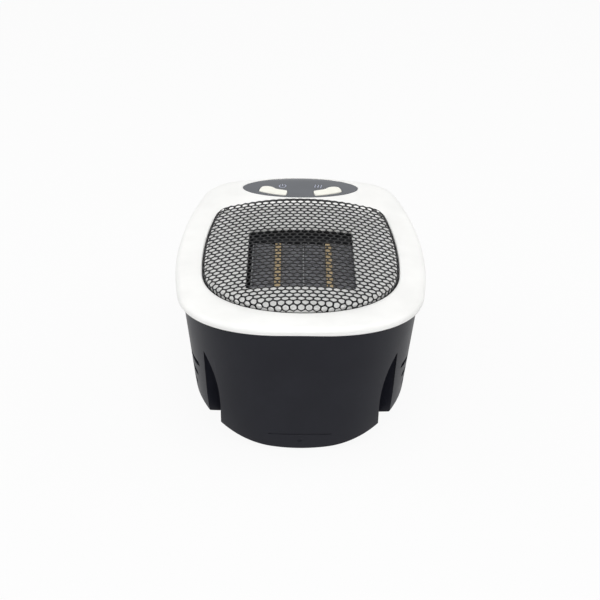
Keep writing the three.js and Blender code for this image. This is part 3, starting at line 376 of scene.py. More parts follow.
def settle(made, body, slot_name, *nodes, smooth=SMOOTH_DEGREES, surface=None):
    """Moves a finished mesh into the frame, shades it, and lets it ride on its body in place of its nodes."""
    reshape(made, lambda points: (points + (0, 0, FACE_HEIGHT)) * MM)
    made.data.shade_smooth()
    made.data.set_sharp_from_angle(angle=math.radians(smooth))
    made.data.materials.clear()
    made.data.materials.append(MATERIALS[surface or slot_name])
    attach(made, body)
    if nodes:
        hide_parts(*nodes)


# Outlines

def corner_between(first, second, radius):
    """The corner arc that touches two larger arcs from inside, on the +X side."""
    reach = first[1] - radius
    apart = second[0] - first[0]
    distance = math.hypot(*apart)
    along = (reach ** 2 - (second[1] - radius) ** 2 + distance ** 2) / (2 * distance)
    across = math.sqrt(reach ** 2 - along ** 2)
    normal = np.array([-apart[1], apart[0]]) / distance
    foot = first[0] + apart * along / distance
    return max(foot + normal * across, foot - normal * across, key=lambda centre: centre[0]), radius


def bulged_outline(form, steps=OUTLINE_STEPS):
    """Points and outward normals of a bulged rounded outline, anticlockwise from the near middle."""
    side = np.array([form["half_width"] - form["side_radius"], form["side_y"]]), form["side_radius"]
    near = np.array([0.0, form["near_y"] + form["near_radius"]]), form["near_radius"]
    far = np.array([0.0, form["far_y"] - form["far_radius"]]), form["far_radius"]
    near_corner = corner_between(side, near, form["near_corner"])
    far_corner = corner_between(side, far, form["far_corner"])

    def toward(start, end):
        return math.atan2(end[0][1] - start[0][1], end[0][0] - start[0][0])

    turns = [-math.pi / 2, toward(near, near_corner), toward(side, near_corner), toward(side, far_corner),
             toward(far, far_corner), math.pi / 2]
    points, normals = [], []
    for index, (centre, radius) in enumerate((near, near_corner, side, far_corner, far)):
        last = index == len(steps) - 1
        angles = np.linspace(turns[index], turns[index + 1], steps[index] + 1)[:None if last else -1]
        normals.append(np.column_stack([np.cos(angles), np.sin(angles)]))
        points.append(centre + radius * normals[-1])
    mirror = np.array([-1, 1])
    halves = np.concatenate(points), np.concatenate(normals)
    return tuple(np.concatenate([half, half[-2:0:-1] * mirror]) for half in halves)


def ring(outline, inset, z):
    points, normals = outline
    inset = np.broadcast_to(inset, len(points))
    return level_ring(points - normals * inset[:, None], z)


def between(first, second, share):
    return first + (second - first) * share


def smoothstep(value, low, high):
    share = np.clip((value - low) / (high - low), 0, 1)
    return share * share * (3 - 2 * share)


body_outline = bulged_outline(BODY_FORM)
shell_outline = bulged_outline(SHELL_FORM)
grille_outline = bulged_outline(GRILLE_FORM)


# Finishes

BLOTCH_RANGE = (0.35, 0.65)
BEVEL_SAMPLES = 4


def linear(level):
    """A written colour level as the light that it stands for."""
    return level / 12.92 if level <= 0.04045 else ((level + 0.055) / 1.055) ** 2.4


def colour_of(hexadecimal):
    return tuple(linear(int(hexadecimal[place:place + 2], 16) / 255) for place in (1, 3, 5)) + (1,)


class Finish:
    """A procedural surface: blotches vary its colour and roughness, and a fine grain raises it."""

    def __init__(self, name):
        self.material = bpy.data.materials.new(name)
        self.material.use_nodes = True
        self.tree = self.material.node_tree
        self.shader = self.tree.nodes["Principled BSDF"]
        self.place = self.tree.nodes.new("ShaderNodeTexCoord").outputs["Object"]

    def add(self, kind, **values):
        node = self.tree.nodes.new(kind)
        for name, value in values.items():
            if name in node.inputs:
                node.inputs[name].default_value = value
            else:
                setattr(node, name, value)
        return node

    def link(self, output, target):
        self.tree.links.new(output, target)

    def noise(self, size, detail=3.0, stretch=None):
        """Noise with features of about this size in metres."""
        node = self.add("ShaderNodeTexNoise", Scale=1 / size, Detail=detail)
        place = self.place
        if stretch:
            mapping = self.add("ShaderNodeMapping")
            mapping.inputs["Scale"].default_value = stretch
            self.link(place, mapping.inputs["Vector"])
            place = mapping.outputs["Vector"]
        self.link(place, node.inputs["Vector"])
        return node.outputs["Fac"]

    def colours(self, output, *colours):
        """Spreads two colours over the middle of a texture's range."""
        ramp = self.add("ShaderNodeValToRGB")
        for element, place, colour in zip(ramp.color_ramp.elements, BLOTCH_RANGE, colours):
            element.position = place
            element.color = colour_of(colour)
        self.link(output, ramp.inputs["Fac"])
        self.link(ramp.outputs["Color"], self.shader.inputs["Base Color"])

    def roughness(self, output, low, high):
        spread = self.add("ShaderNodeMapRange")
        spread.inputs["To Min"].default_value = low
        spread.inputs["To Max"].default_value = high
        self.link(output, spread.inputs["Value"])
        self.link(spread.outputs["Result"], self.shader.inputs["Roughness"])

    def grain(self, output, height, edge=0.0):
        bump = self.add("ShaderNodeBump", Distance=height, Strength=1.0)
        self.link(output, bump.inputs["Height"])
        if edge:
            bevel = self.add("ShaderNodeBevel", samples=BEVEL_SAMPLES, Radius=edge)
            self.link(bevel.outputs["Normal"], bump.inputs["Normal"])
        self.link(bump.outputs["Normal"], self.shader.inputs["Normal"])

    def constants(self, **values):
        for name, value in values.items():
            self.shader.inputs[name.replace("_", " ")].default_value = value


def moulded(name, dark, light, roughness, blotch=0.02, grain=0.0004, height=0.00001, edge=0.0, stretch=None,
            **values):
    """A finish between two colours, with its blotches, grain, grain height and worn edge in metres."""
    finish = Finish(name)
    blotches = finish.noise(blotch, stretch=stretch)
    finish.colours(blotches, dark, light)
    finish.roughness(finish.noise(blotch / 2, stretch=stretch), *roughness)
    finish.grain(finish.noise(grain, detail=2.0, stretch=stretch), height, edge)
    finish.constants(**values)
    return finish.material


MATERIALS = {
    "white_plastic": moulded("white_plastic", "#f4f4f2", "#fafaf8", (0.34, 0.42), edge=0.0004),
    "black_plastic": moulded("black_plastic", "#16171f", "#1a1b23", (0.4, 0.48), grain=0.0003, height=0.00003,
                             edge=0.0003, Specular_IOR_Level=0.2),
    "panel_gloss": moulded("panel_gloss", "#43474e", "#494d54", (0.14, 0.2), height=0.000002, edge=0.0003),
    "button_ivory": moulded("button_ivory", "#f6f5ea", "#faf9f0", (0.25, 0.33), edge=0.0002),
    "icon_mark": moulded("icon_mark", "#a9aec4", "#b4b9ce", (0.4, 0.5)),
    "black_mesh": moulded("black_mesh", "#0c0c0e", "#131316", (0.42, 0.54), grain=0.0005, height=0.00001,
                          Specular_IOR_Level=0.22),
    "ceramic_beige": moulded("ceramic_beige", "#bda67f", "#d3be98", (0.7, 0.85), blotch=0.003,
                             height=0.00004),
    "dark_fin": moulded("dark_fin", "#a3a3a9", "#b6b6bb", (0.4, 0.55), blotch=0.004, Metallic=0.2),
    "bare_aluminium": moulded("bare_aluminium", "#a8a9ac", "#bdbec1", (0.3, 0.45), stretch=(1, 12, 1),
                              Metallic=0.9),
    "heat_plastic": moulded("heat_plastic", "#1a1b1e", "#232427", (0.55, 0.7), height=0.00004),
    "board_green": moulded("board_green", "#24573a", "#2f6d48", (0.4, 0.55), blotch=0.006),
    "steel": moulded("steel", "#8b8e92", "#a3a6aa", (0.28, 0.42), stretch=(8, 1, 1), Metallic=0.9),
    "brass": moulded("brass", "#a9843f", "#c09a50", (0.26, 0.4), Metallic=0.9),
    "component_blue": moulded("component_blue", "#254177", "#2e4e8e", (0.35, 0.48)),
    "component_yellow": moulded("component_yellow", "#c49d32", "#d6b041", (0.45, 0.58)),
    "lamp_clear": moulded("lamp_clear", "#cfd3d8", "#dfe2e6", (0.12, 0.2), Transmission_Weight=0.4),
}
KEPT_NODES = {
    "ceramic_beige": ["ceramic_stone_left", "ceramic_stone_right"],
    "bare_aluminium": ["core_divider", "core_plate_left", "core_plate_right", "switch_plunger_power",
                       "switch_plunger_mode", "thermal_fuse"],
    "heat_plastic": ["core_cap_near", "core_cap_far", "fan_duct", "motor_bracket", "power_inlet",
                     "switch_power", "switch_mode", "tilt_switch"],
    "board_green": ["control_board", "power_board"],
    "steel": ["motor_shaft", "fan_motor", "thermostat", "case_screw_left", "case_screw_right",
              "board_screw_power", "board_screw_mode", *(f"duct_screw_{index}" for index in (1, 2, 3, 4)),
              *(f"power_screw_{index}" for index in (1, 2, 3, 4))],
    "brass": ["heater_terminal_left", "heater_terminal_right", "inlet_pin_left", "inlet_pin_right"],
    "component_blue": ["relay", "terminal_block", "smoothing_capacitor"],
    "component_yellow": ["filter_capacitor", "transformer"],
    "lamp_clear": ["lamp_power", "lamp_mode"],
    "black_plastic": ["fan_rotor"],
}


def dress_nodes():
    for slot_name, names in KEPT_NODES.items():
        for name in names:
            for material_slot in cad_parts[name].material_slots:
                material_slot.material = MATERIALS[slot_name]


# Bezel and panel

def bezel_skin(name):
    points, normals = body_outline
    far = smoothstep(points[:, 1], FAR_BLEND_START, BODY_LENGTH / 2)
    reach = between(ROLL_REACH, FAR_ROLL_REACH, far)
    rings = [ring(body_outline, 0, -BEZEL_SKIRT)]
    for step in range(ROLL_STEPS + 1):
        turn = math.pi / 2 * step / ROLL_STEPS
        rings.append(ring(body_outline, reach * (1 - math.cos(turn)), -ROLL_DROP * (1 - math.sin(turn))))
    rolled = rings[-1]
    lip = ring(grille_outline, -GAP - OPENING_LIP, 0)
    rings += [between(rolled, lip, step / SPREAD_STEPS) for step in range(1, SPREAD_STEPS)]
    for step in range(LIP_STEPS + 1):
        turn = math.pi / 2 * step / LIP_STEPS
        rings.append(ring(grille_outline, -GAP - OPENING_LIP * (1 - math.sin(turn)),
                          -OPENING_LIP * (1 - math.cos(turn))))
    rings.append(ring(grille_outline, -GAP, -BEZEL_SKIN))
    rings.append(ring(body_outline, SKIRT_WALL, -BEZEL_SKIN))
    rings.append(ring(body_outline, SKIRT_WALL, -BEZEL_SKIRT))
    return loft(name, rings, closed=True)


def lens(offset):
    """The panel's outline, half an ellipse over a flatter bow, moved out or in by an offset."""
    half_width = PANEL_HALF_WIDTH + offset
    turns = np.linspace(0, math.pi, PANEL_STEPS + 1)[:-1]
    rise = PANEL_HIGH_Y + offset - PANEL_TIP_Y
    upper = np.column_stack([half_width * np.cos(turns), PANEL_TIP_Y + rise * np.sin(turns)])
    sag = PANEL_TIP_Y - PANEL_LOW_Y + offset
    depth = np.sin(turns)
    lower = np.column_stack([-half_width * np.cos(turns),
                             PANEL_TIP_Y - sag * between(depth ** 2, depth, PANEL_FULLNESS)])
    return np.concatenate([upper, lower])


def button_outline(side, offset):
    """A stretch of a ring that follows the panel's lower edge, with a raised outer corner."""
    stretch = offset / BUTTON_OUTER
    start, end = BUTTON_START - stretch, BUTTON_END + stretch
    corners = [(1, share) for share in np.linspace(0, 1, BUTTON_STEPS + 1)] + list(BUTTON_TOP_SHARES)
    shares = np.array(corners)
    radius = between(BUTTON_INNER - offset, BUTTON_OUTER + offset, shares[:, 0])
    angle = between(start, end, shares[:, 1])
    points = np.column_stack([side * radius * np.sin(angle), BUTTON_CENTRE_Y - radius * np.cos(angle)])
    return rounded_off(points)


def rounded_off(points):
    """Cuts the corners of an outline again and again, which leaves a smooth curve."""
    for _ in range(ROUNDING_PASSES):
        following = np.roll(points, -1, axis=0)
        cuts = [between(points, following, share) for share in (ROUNDING_SHARE, 1 - ROUNDING_SHARE)]
        points = np.stack(cuts, axis=1).reshape(-1, 2)
    return points


def face_and_panel():
    skin = bezel_skin("bezel_shape")
    fill = prism("lens_fill", lens(-GAP), -BEZEL_SKIRT - OVERRUN, OVERRUN)
    holes = [prism("button_hole", button_outline(side, GAP), -BEZEL_SKIRT - OVERRUN, OVERRUN)
             for side in (-1, 1)]
    panel = carve(twin(skin, "panel_shape"), [fill], "INTERSECT")
    settle(bend_to_face(carve(panel, holes)), "housing", "panel_gloss", "control_panel")
    hole = prism("lens_hole", lens(0), -BEZEL_SKIRT - OVERRUN, OVERRUN)
    settle(bend_to_face(carve(skin, [hole])), "housing", "white_plastic", "front_bezel")


def buttons():
    """Each button is a cap with a flange behind the skin and a stem down to its switch's plunger."""
    widest = crown_drop(BUTTON_OUTER * math.sin(BUTTON_END))
    foot = -(BEZEL_SKIN + widest + GAP)
    for name, side in (("power", -1), ("mode", 1)):
        rings = [level_ring(button_outline(side, offset), z) for offset, z in ((0, foot), *BUTTON_EDGE)]
        cap = bend_to_face(loft(f"button_{name}_cap", rings))
        flange = prism("flange", button_outline(side, BUTTON_FLANGE_LIP), foot - BUTTON_FLANGE_SHEET, foot)
        stem_low = (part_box(f"switch_plunger_{name}")[1].z / MM) - FACE_HEIGHT + GAP
        stem = drum("stem", BUTTON_STEM_RADIUS, side * BUTTON_STEM_X, BUTTON_STEM_Y, stem_low, foot)
        settle(carve(cap, [flange, stem], "UNION"), f"button_{name}", "button_ivory", f"button_{name}")


def mark(name, lines):
    """A flat printed mark: each line is a ribbon that lies on the crowned panel."""
    points, faces = [], []
    for line in lines:
        line = np.asarray(line, float)
        along = np.gradient(line, axis=0)
        across = np.column_stack([-along[:, 1], along[:, 0]])
        across *= ICON_LINE / 2 / np.linalg.norm(across, axis=1)[:, None]
        first = len(points)
        for left, right in zip(line - across, line + across):
            points += [(*left, ICON_STAND - crown_drop(left[0])), (*right, ICON_STAND - crown_drop(right[0]))]
        faces += [(first + 2 * i, first + 2 * i + 1, first + 2 * i + 3, first + 2 * i + 2)
                  for i in range(len(line) - 1)]
    settle(solid(name, points, faces), "housing", "lamp_clear", surface="icon_mark")


def icons():
    turns = np.linspace(POWER_MARK_START, POWER_MARK_END, POWER_MARK_STEPS)
    circle_line = np.column_stack([-ICON_X + ICON_SIZE * np.cos(turns), ICON_Y + ICON_SIZE * np.sin(turns)])
    stroke = [(-ICON_X, ICON_Y + share * ICON_SIZE) for share in POWER_MARK_STROKE]
    mark("mark_power", [circle_line, stroke])
    rise = np.linspace(-1, 1, HEAT_MARK_STEPS)
    swing = HEAT_MARK_SWING * np.sin(rise * math.pi)
    waves = [np.column_stack([ICON_X + shift * ICON_SIZE + swing, ICON_Y + rise * ICON_SIZE])
             for shift in HEAT_MARK_SHIFTS]
    mark("mark_heat", waves)


# Grille

def pan_point(places, depth, outline):
    """Puts points of the unrolled sheet on the pan: flat inside, round its bend and down its wall."""
    points, normals = outline
    line = points - normals * GRILLE_BEND
    nearest = np.empty(len(places), int)
    for start in range(0, len(places), NEAREST_SAMPLES):
        part = places[start:start + NEAREST_SAMPLES]
        nearest[start:start + NEAREST_SAMPLES] = np.argmin(
            np.square(part[:, None] - line[None]).sum(axis=2), axis=1)
    foot, normal = line[nearest], normals[nearest]
    out = ((places - foot) * normal).sum(axis=1)
    along = (places - foot) - normal * out[:, None]
    quarter = GRILLE_BEND * math.pi / 2
    turn = np.clip(out, 0, quarter) / GRILLE_BEND
    fall = np.clip(out - quarter, 0, wall_reach() - quarter)
    reach = np.where(out > 0, GRILLE_BEND * np.sin(turn), out)
    flat = foot + along + normal * reach[:, None]
    height = GRILLE_RISE - GRILLE_BEND * (1 - np.cos(turn)) - fall
    flat -= normal * (depth * np.sin(turn))[:, None]
    height -= depth * np.cos(turn)
    return np.column_stack([flat, height])


def flange_top():
    return -(BEZEL_SKIN + GAP)


def wall_reach():
    """Length of sheet from the start of the bend down to the flange."""
    return GRILLE_BEND * math.pi / 2 + GRILLE_RISE - GRILLE_BEND - flange_top()


def bend_grille(made):
    def change(points):
        share = smoothstep(points[:, 2], flange_top(), GRILLE_RISE)
        drop = between(crown_drop(points[:, 0]), crown_drop(points[:, 0], GRILLE_CROWN_RADIUS), share)
        return points - np.column_stack([np.zeros((len(points), 2)), drop])
    return reshape(made, change)


def cell_rings():
    """Offsets from a cell's centre: its hexagon, the hole's edge and the hole, with the depth of each."""
    turns = np.arange(CELL_POINTS) * 2 * math.pi / CELL_POINTS
    nearest_flat = np.round(turns / (math.pi / 3)) * (math.pi / 3)
    reach = 1 / np.cos(turns - nearest_flat)
    direction = np.column_stack([np.cos(turns), np.sin(turns)])
    hexagon = direction * (reach * CELL_PITCH / 2)[:, None]
    softened = between(np.ones(CELL_POINTS), reach, CELL_CORNER_SHARE)
    hole = direction * (softened * CELL_HOLE / 2)[:, None]
    lip = direction * (softened * CELL_HOLE / 2 + CELL_EDGE)[:, None]
    return [(hexagon, 0), (lip, 0), (hole, CELL_EDGE), (hole, CELL_SHEET), (hexagon, CELL_SHEET)]


def cell_centres(outline):
    """Centres of the cells that lie whole on the unrolled sheet."""
    row_step = CELL_PITCH * math.sqrt(3) / 2
    rows = int(GRILLE_LENGTH / 2 / row_step) + SPARE_CELLS
    columns = int(GRILLE_WIDTH / 2 / CELL_PITCH) + SPARE_CELLS
    centres = np.array([((column + 0.5 * (row % 2)) * CELL_PITCH, GRILLE_SHIFT + row * row_step)
                        for row in range(-rows, rows + 1) for column in range(-columns, columns + 1)])
    points, normals = outline
    line = points - normals * GRILLE_BEND
    nearest = np.argmin(np.square(centres[:, None] - line[None]).sum(axis=2), axis=1)
    out = ((centres - line[nearest]) * normals[nearest]).sum(axis=1)
    return centres[out < wall_reach() - CELL_PITCH / 2]


def grille():
    """The perforated pan, then the plain band of sheet at its foot with the clamped flange."""
    outline = bulged_outline(GRILLE_FORM, tuple(steps * GRILLE_STEP_FACTOR for steps in OUTLINE_STEPS))
    centres = cell_centres(outline)
    rings = cell_rings()
    layers = []
    for offsets, depth in rings:
        places = (centres[:, None] + offsets[None]).reshape(-1, 2)
        layers.append(pan_point(places, depth, outline))
    per_layer = len(centres) * CELL_POINTS
    faces = []
    for level in range(len(rings) - 1):
        base = level * per_layer
        for cell in range(len(centres)):
            first = base + cell * CELL_POINTS
            for i in range(CELL_POINTS):
                j = (i + 1) % CELL_POINTS
                faces.append((first + i, first + j, first + j + per_layer, first + i + per_layer))
    mesh_sheet = solid("grille_mesh", np.concatenate(layers), faces)
    shape = bmesh.new()
    shape.from_mesh(mesh_sheet.data)
    bmesh.ops.remove_doubles(shape, verts=shape.verts, dist=MERGE_DISTANCE)
    bmesh.ops.dissolve_degenerate(shape, edges=shape.edges, dist=SLIVER_LENGTH)
    bmesh.ops.recalc_face_normals(shape, faces=shape.faces)
    shape.to_mesh(mesh_sheet.data)
    shape.free()
    settle(bend_grille(mesh_sheet), "housing", "black_mesh", "mesh_grille", smooth=GRILLE_SMOOTH_DEGREES)
    foot, top, inner = flange_top() - GRILLE_SHEET, flange_top(), GRILLE_SHEET + BAND_STAND
    section = ((-GRILLE_FLANGE, foot), (-GRILLE_FLANGE, top), (-BAND_STAND, top), (-BAND_STAND, BAND_TOP),
               (inner, BAND_TOP), (inner, foot))
    band = loft("grille_band", [ring(grille_outline, inset, z) for inset, z in section], closed=True)
    settle(bend_grille(band), "housing", "black_mesh", "mesh_grille")


def deck():
    """The white plate under the grille, with its flange, its lip inside the pan and the outlet window."""
    flange_high = flange_top() - GRILLE_SHEET - GAP
    flange_low = flange_high - DECK_FLANGE_SHEET
    plateau = DECK_RISER_INSET + DECK_RISER_SLOPE

    def filled(inset, z):
        edge = ring(grille_outline, inset, z)
        centre = np.array([0, WINDOW_SHIFT, z])
        return [between(edge, centre, step / (SPREAD_STEPS + 1)) for step in range(SPREAD_STEPS + 1)]

    outer = loft("deck_shape", [
        ring(grille_outline, -GRILLE_FLANGE, flange_low), ring(grille_outline, -GRILLE_FLANGE, flange_high),
        ring(grille_outline, DECK_LIP_INSET, flange_high),
        ring(grille_outline, DECK_LIP_INSET, DECK_LIP_TOP - DECK_LIP_EDGE),
        ring(grille_outline, DECK_LIP_INSET + DECK_LIP_EDGE, DECK_LIP_TOP),
        ring(grille_outline, DECK_LIP_INSET + DECK_LIP_WALL, DECK_LIP_TOP), *filled(plateau, -DECK_DROP)])
    hollow = loft("deck_hollow", [
        ring(grille_outline, DECK_RISER_INSET + DECK_FLANGE_SHEET, flange_low - OVERRUN),
        *filled(plateau + DECK_FLANGE_SHEET, -DECK_DROP - DECK_SHEET)])
    window = prism("window", rounded_box(WINDOW_WIDTH, WINDOW_LENGTH, 0, WINDOW_SHIFT, WINDOW_CORNER),
                   -DECK_DROP - DECK_SHEET - OVERRUN, -DECK_DROP + OVERRUN)
    settle(bend_grille(carve(outer, [hollow, window])), "housing", "white_plastic", "outlet_deck")


def fins():
    """Each pack is a fine folded strip that stands in a zigzag between its neighbours."""
    for node in ("fin_pack_outer_left", "fin_pack_inner_left", "fin_pack_inner_right",
                 "fin_pack_outer_right"):
        low, high = (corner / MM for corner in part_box(node))
        folds = round((high.y - low.y) / FIN_PITCH)
        step = (high.y - low.y - FIN_SHEET) / folds
        foot, top = low.z - FACE_HEIGHT, high.z - FACE_HEIGHT
        rings = []
        for fold in range(folds + 1):
            x = high.x if fold % 2 else low.x
            near = low.y + fold * step
            far = near + FIN_SHEET
            rings.append([(x, near, foot), (x, far, foot), (x, far, top), (x, near, top)])
        settle(loft(f"{node}_fine", rings), "housing", "dark_fin", node)


# Shell

def shell_rim(x):
    return -BEZEL_SKIRT - GAP - crown_drop(x)


def shell_place(inset, z):
    """Places of the drafted wall at the given heights."""
    points, normals = shell_outline
    slope = between(math.tan(math.radians(SHELL_END_DRAFT)), math.tan(math.radians(SHELL_SIDE_DRAFT)),
                    normals[:, 0] ** 2)
    return points - normals * (inset + (-z - BEZEL_SKIRT) * slope)[:, None]


def dome_z(x, inset):
    return -BODY_DEPTH + inset + crown_drop(x, BACK_DOME_RADIUS - inset)


def shell_form(name, inset, lift, fillet):
    """The drafted wall, a rounded corner and the domed back, as one closed solid."""
    points, normals = shell_outline
    corner_z = np.full(len(points), float(-BODY_DEPTH))
    for _ in range(SPREAD_STEPS):
        corner_z = dome_z(shell_place(inset, corner_z)[:, 0], inset)
    rim_z = shell_rim(points[:, 0])
    wall_low = corner_z + fillet
    rings = []
    for step in range(WALL_STEPS + 1):
        z = between(rim_z + (lift if step == 0 else 0), wall_low, step / WALL_STEPS)
        rings.append(level_ring(shell_place(inset, z), z))
    start = rings[-1]
    corner = level_ring(shell_place(inset, corner_z), corner_z)
    back = shell_place(inset + fillet, corner_z)
    end = level_ring(back, dome_z(back[:, 0], inset))
    for step in range(1, FILLET_STEPS + 1):
        share = step / FILLET_STEPS
        rings.append(between(between(start, corner, share), between(corner, end, share), share))
    for step in range(1, SPREAD_STEPS + 1):
        flat = between(back, np.array([0, WINDOW_SHIFT]), step / (SPREAD_STEPS + 1))
        rings.append(level_ring(flat, dome_z(flat[:, 0], inset)))
    return loft(name, rings)


def along_y(name, outline, near, far):
    """A prism along Y from an outline in X and Z."""
    outline = np.asarray(outline, float)
    return loft(name, [np.column_stack([outline[:, 0], np.full(len(outline), y), outline[:, 1]])
                       for y in (near, far)])


def along_x(name, outline, low, high):
    """A prism along X from an outline in Y and Z."""
    outline = np.asarray(outline, float)
    return loft(name, [np.column_stack([np.full(len(outline), x), outline]) for x in (low, high)])


def recess_outline(side, offset):
    """The pointed recess, with its straight outer side and its curved inner side."""
    apex = np.array([RECESS_OUTER_X + RECESS_LEAN + RECESS_APEX_SPREAD * offset,
                     -RECESS_TOP_DROP + RECESS_APEX_RISE * offset])
    bow = np.array([RECESS_INNER_X - RECESS_BOW_REACH - offset, -RECESS_BOW_DROP])
    foot = np.array([RECESS_INNER_X - offset, -RECESS_CURVE_DROP])
    shares = np.linspace(0, 1, RECESS_STEPS + 1)[:, None]
    curve = between(between(apex, bow, shares), between(bow, foot, shares), shares)
    low = -BODY_DEPTH - 2 * OVERRUN
    rest = np.array([(RECESS_INNER_X - offset, low), (RECESS_OUTER_X + offset, low)])
    return np.concatenate([curve, rest]) * (side, 1)


def recess(name, side, offset):
    """Cuts in from the near end to a floor that goes deeper toward the middle."""
    width = RECESS_OUTER_X - RECESS_INNER_X + offset
    near = -BODY_LENGTH / 2 - OVERRUN - RECESS_FLOOR_SLOPE * width
    made = along_y(name, recess_outline(side, offset), near, RECESS_EDGE_Y + offset)
    return reshape(made, lambda points: points + np.outer(
        RECESS_OUTER_X - side * points[:, 0], (0, RECESS_FLOOR_SLOPE, 0)))


def slot_outline(near, far, z):
    """An air slot with pointed ends, seen from the side."""
    half = SLOT_HEIGHT / 2
    return [(near, z - half * SLOT_TIP_SHARE), (near + SLOT_HEIGHT, z - half), (far - SLOT_HEIGHT, z - half),
            (far, z), (far - SLOT_HEIGHT, z + half), (near + SLOT_HEIGHT * SLOT_TIP_SHARE, z + half)]


def groove():
    """A shallow moulded line across the near wall, above its foot."""
    points, _ = shell_outline
    near = (np.abs(points[:, 0]) < GROOVE_HALF_WIDTH) & (points[:, 1] < 0)
    across = np.argsort(points[near][:, 0])
    inner, outer = (shell_place(inset, -GROOVE_DROP)[near][across] for inset in (GROOVE_DEPTH, -OVERRUN))
    return prism("groove", np.concatenate([inner, outer[::-1]]), -GROOVE_DROP - GROOVE_HEIGHT / 2,
                 -GROOVE_DROP + GROOVE_HEIGHT / 2)


def dimple():
    """A small round mould mark under the line."""
    wall = shell_place(GROOVE_DEPTH, -DIMPLE_DROP)[:, 1].min()
    return along_y("dimple", circle(DIMPLE_RADIUS, 0, -DIMPLE_DROP), wall - OVERRUN, wall)


def shell():
    """The hollow shell with the walls of its recesses and bosses, then all that is cut through it."""
    low = -BODY_DEPTH - OVERRUN
    outer = shell_form("shell_shape", 0, 0, SHELL_FILLET)
    limit = twin(outer, "limit")
    inside, cuts = [], []
    for side in (-1, 1):
        inside.append(recess("pocket", side, SHELL_WALL))
        cuts.append(recess("recess", side, 0))
        x = side * CASE_SCREW_X
        inside.append(drum("boss", CASE_BOSS_RADIUS, x, CASE_SCREW_Y, low, -CASE_BOSS_DROP))
        cuts.append(drum("bore", SCREW_BORE, x, CASE_SCREW_Y, low, OVERRUN))
        cuts.append(drum("head_bore", SCREW_HEAD_BORE, x, CASE_SCREW_Y, low, -CASE_HEAD_DROP))
        for slot in range(SLOT_COUNT):
            outline = slot_outline(SLOT_NEAR_Y + slot * SLOT_STAGGER, SLOT_FAR_Y,
                                   -SLOT_TOP_DROP - slot * SLOT_PITCH)
            reach = sorted((side * SLOT_INNER_X, side * BODY_WIDTH / 2))
            cuts.append(along_x("slot", outline, *reach))
    cuts.append(drum("guard_hole", GUARD_RADIUS + GAP, 0, WINDOW_SHIFT, low, -BODY_DEPTH / 2, ROUND_SIDES))
    inlet = rounded_box(INLET_WIDTH + 2 * GAP, INLET_LENGTH + 2 * GAP, 0, INLET_Y, GAP)
    cuts.append(prism("inlet_hole", inlet, low - OVERRUN, INLET_DEPTH / 2 - BODY_DEPTH))
    carve(outer, [shell_form("hollow", SHELL_WALL, OVERRUN, SHELL_FILLET / 2)])
    carve(outer, [carve(form, [twin(limit, "form_limit")], "INTERSECT") for form in inside], "UNION")
    carve(outer, [*cuts, groove(), dimple()])
    bpy.data.objects.remove(limit)
    settle(outer, "housing", "black_plastic", "rear_shell")


def turned(name, profile, x, y):
    """A closed profile of radius and height, turned about an upright line."""
    return loft(name, [level_ring(circle(radius, x, y, ROUND_SIDES), z) for radius, z in profile], closed=True)


def guard():
    """The round air inlet: a rim and a floor of bars with a rib across their middle."""
    foot = -BODY_DEPTH - GUARD_STAND
    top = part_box("rear_guard")[1].z / MM - FACE_HEIGHT
    inner = GUARD_RADIUS - GUARD_RIM
    rim = turned("guard_shape", [
        (inner, foot + GUARD_STAND), (inner + GUARD_STAND, foot), (GUARD_RADIUS - GUARD_STAND / 2, foot),
        (GUARD_RADIUS, foot + GUARD_STAND / 2), (GUARD_RADIUS, top), (inner, top)], 0, WINDOW_SHIFT)
    floor_low, floor_high = foot + GUARD_STAND, foot + GUARD_STAND + GUARD_SHEET
    floor = drum("guard_floor", inner + GUARD_RIM / 2, 0, WINDOW_SHIFT, floor_low, floor_high, ROUND_SIDES)
    slots = []
    rows = int((inner - GUARD_SLOT) // GUARD_PITCH)
    for row in range(-rows, rows + 1):
        y = row * GUARD_PITCH
        reach = math.sqrt((inner - GUARD_RIM / 2) ** 2 - (abs(y) + GUARD_SLOT / 2) ** 2)
        for side in (-1, 1):
            width = reach - GUARD_RIB / 2
            outline = rounded_box(width, GUARD_SLOT, side * (GUARD_RIB + width) / 2, WINDOW_SHIFT + y,
                                  GUARD_SLOT_CORNER)
            slots.append(prism("guard_slot", outline, foot - OVERRUN, floor_high + OVERRUN))
    carve(floor, slots)
    settle(carve(rim, [floor], "UNION"), "housing", "black_plastic", "rear_guard")


# Room, lights and camera

def shown_white(name, light_share, colour):
    """A pale surface that the camera and reflections see brighter than it is, with its shadows kept."""
    material = bpy.data.materials.new(name)
    material.use_nodes = True
    tree = material.node_tree
    tree.nodes.clear()
    output = tree.nodes.new("ShaderNodeOutputMaterial")
    blend = tree.nodes.new("ShaderNodeMixShader")
    diffuse = tree.nodes.new("ShaderNodeBsdfDiffuse")
    diffuse.inputs["Color"].default_value = colour
    glow = tree.nodes.new("ShaderNodeEmission")
    share = tree.nodes.new("ShaderNodeMath")
    share.operation = "MULTIPLY"
    share.inputs[1].default_value = light_share
    tree.links.new(seen_rays(tree), share.inputs[0])
    tree.links.new(share.outputs["Value"], blend.inputs["Fac"])
    tree.links.new(diffuse.outputs["BSDF"], blend.inputs[1])
    tree.links.new(glow.outputs["Emission"], blend.inputs[2])
    tree.links.new(blend.outputs["Shader"], output.inputs["Surface"])
    return material


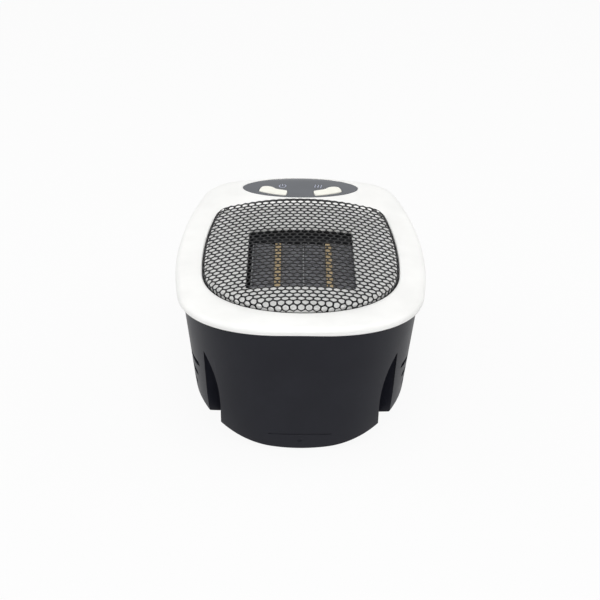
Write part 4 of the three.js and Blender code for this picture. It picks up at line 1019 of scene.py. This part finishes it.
def seen_rays(tree):
    """One where a ray comes from the camera, a reflection or glass."""
    path = tree.nodes.new("ShaderNodeLightPath")
    total = path.outputs["Is Camera Ray"]
    for name in ("Is Glossy Ray", "Is Transmission Ray"):
        larger = tree.nodes.new("ShaderNodeMath")
        larger.operation = "MAXIMUM"
        tree.links.new(total, larger.inputs[0])
        tree.links.new(path.outputs[name], larger.inputs[1])
        total = larger.outputs["Value"]
    return total


def room():
    corners = [(x * FLOOR_REACH, y * FLOOR_REACH, 0) for x, y in ((-1, -1), (1, -1), (1, 1), (-1, 1))]
    floor = solid("floor", corners, [(0, 1, 2, 3)])
    floor.data.materials.append(shown_white("floor_white", FLOOR_LIGHT_SHARE, FLOOR_COLOUR))
    world = bpy.data.worlds.new("studio")
    bpy.context.scene.world = world
    world.use_nodes = True
    tree = world.node_tree
    background = tree.nodes["Background"]
    background.inputs["Color"].default_value = (1, 1, 1, 1)
    level = tree.nodes.new("ShaderNodeMapRange")
    level.inputs["To Min"].default_value = WORLD_LIGHT
    level.inputs["To Max"].default_value = 1
    tree.links.new(seen_rays(tree), level.inputs["Value"])
    tree.links.new(level.outputs["Result"], background.inputs["Strength"])
    target = Vector((0, 0, FACE_HEIGHT * MM / 2))
    for name, place, size, power in LIGHTS:
        light = bpy.data.lights.new(name, "AREA")
        light.shape = "DISK"
        light.size = size
        light.energy = power
        lamp = bpy.data.objects.new(name, light)
        lamp.location = place
        lamp.rotation_euler = (target - Vector(place)).to_track_quat("-Z", "Y").to_euler()
        bpy.context.scene.collection.objects.link(lamp)


def camera():
    data = bpy.data.cameras.new("camera")
    data.lens = CAMERA_LENS
    made = bpy.data.objects.new("camera", data)
    turn = Matrix.Rotation(math.radians(CAMERA_TURN), 4, "Z")
    tilt = Matrix.Rotation(math.radians(90 - CAMERA_ELEVATION), 4, "X")
    roll = Matrix.Rotation(math.radians(CAMERA_ROLL), 4, "Z")
    place = Matrix.Translation((0, -CAMERA_REACH, FACE_HEIGHT * MM + CAMERA_RISE))
    made.matrix_world = turn @ place @ tilt @ roll
    bpy.context.scene.collection.objects.link(made)
    bpy.context.scene.camera = made
    bpy.context.scene.view_settings.view_transform = "Standard"


camera()
dress_nodes()
face_and_panel()
buttons()
icons()
grille()
deck()
fins()
shell()
guard()
room()
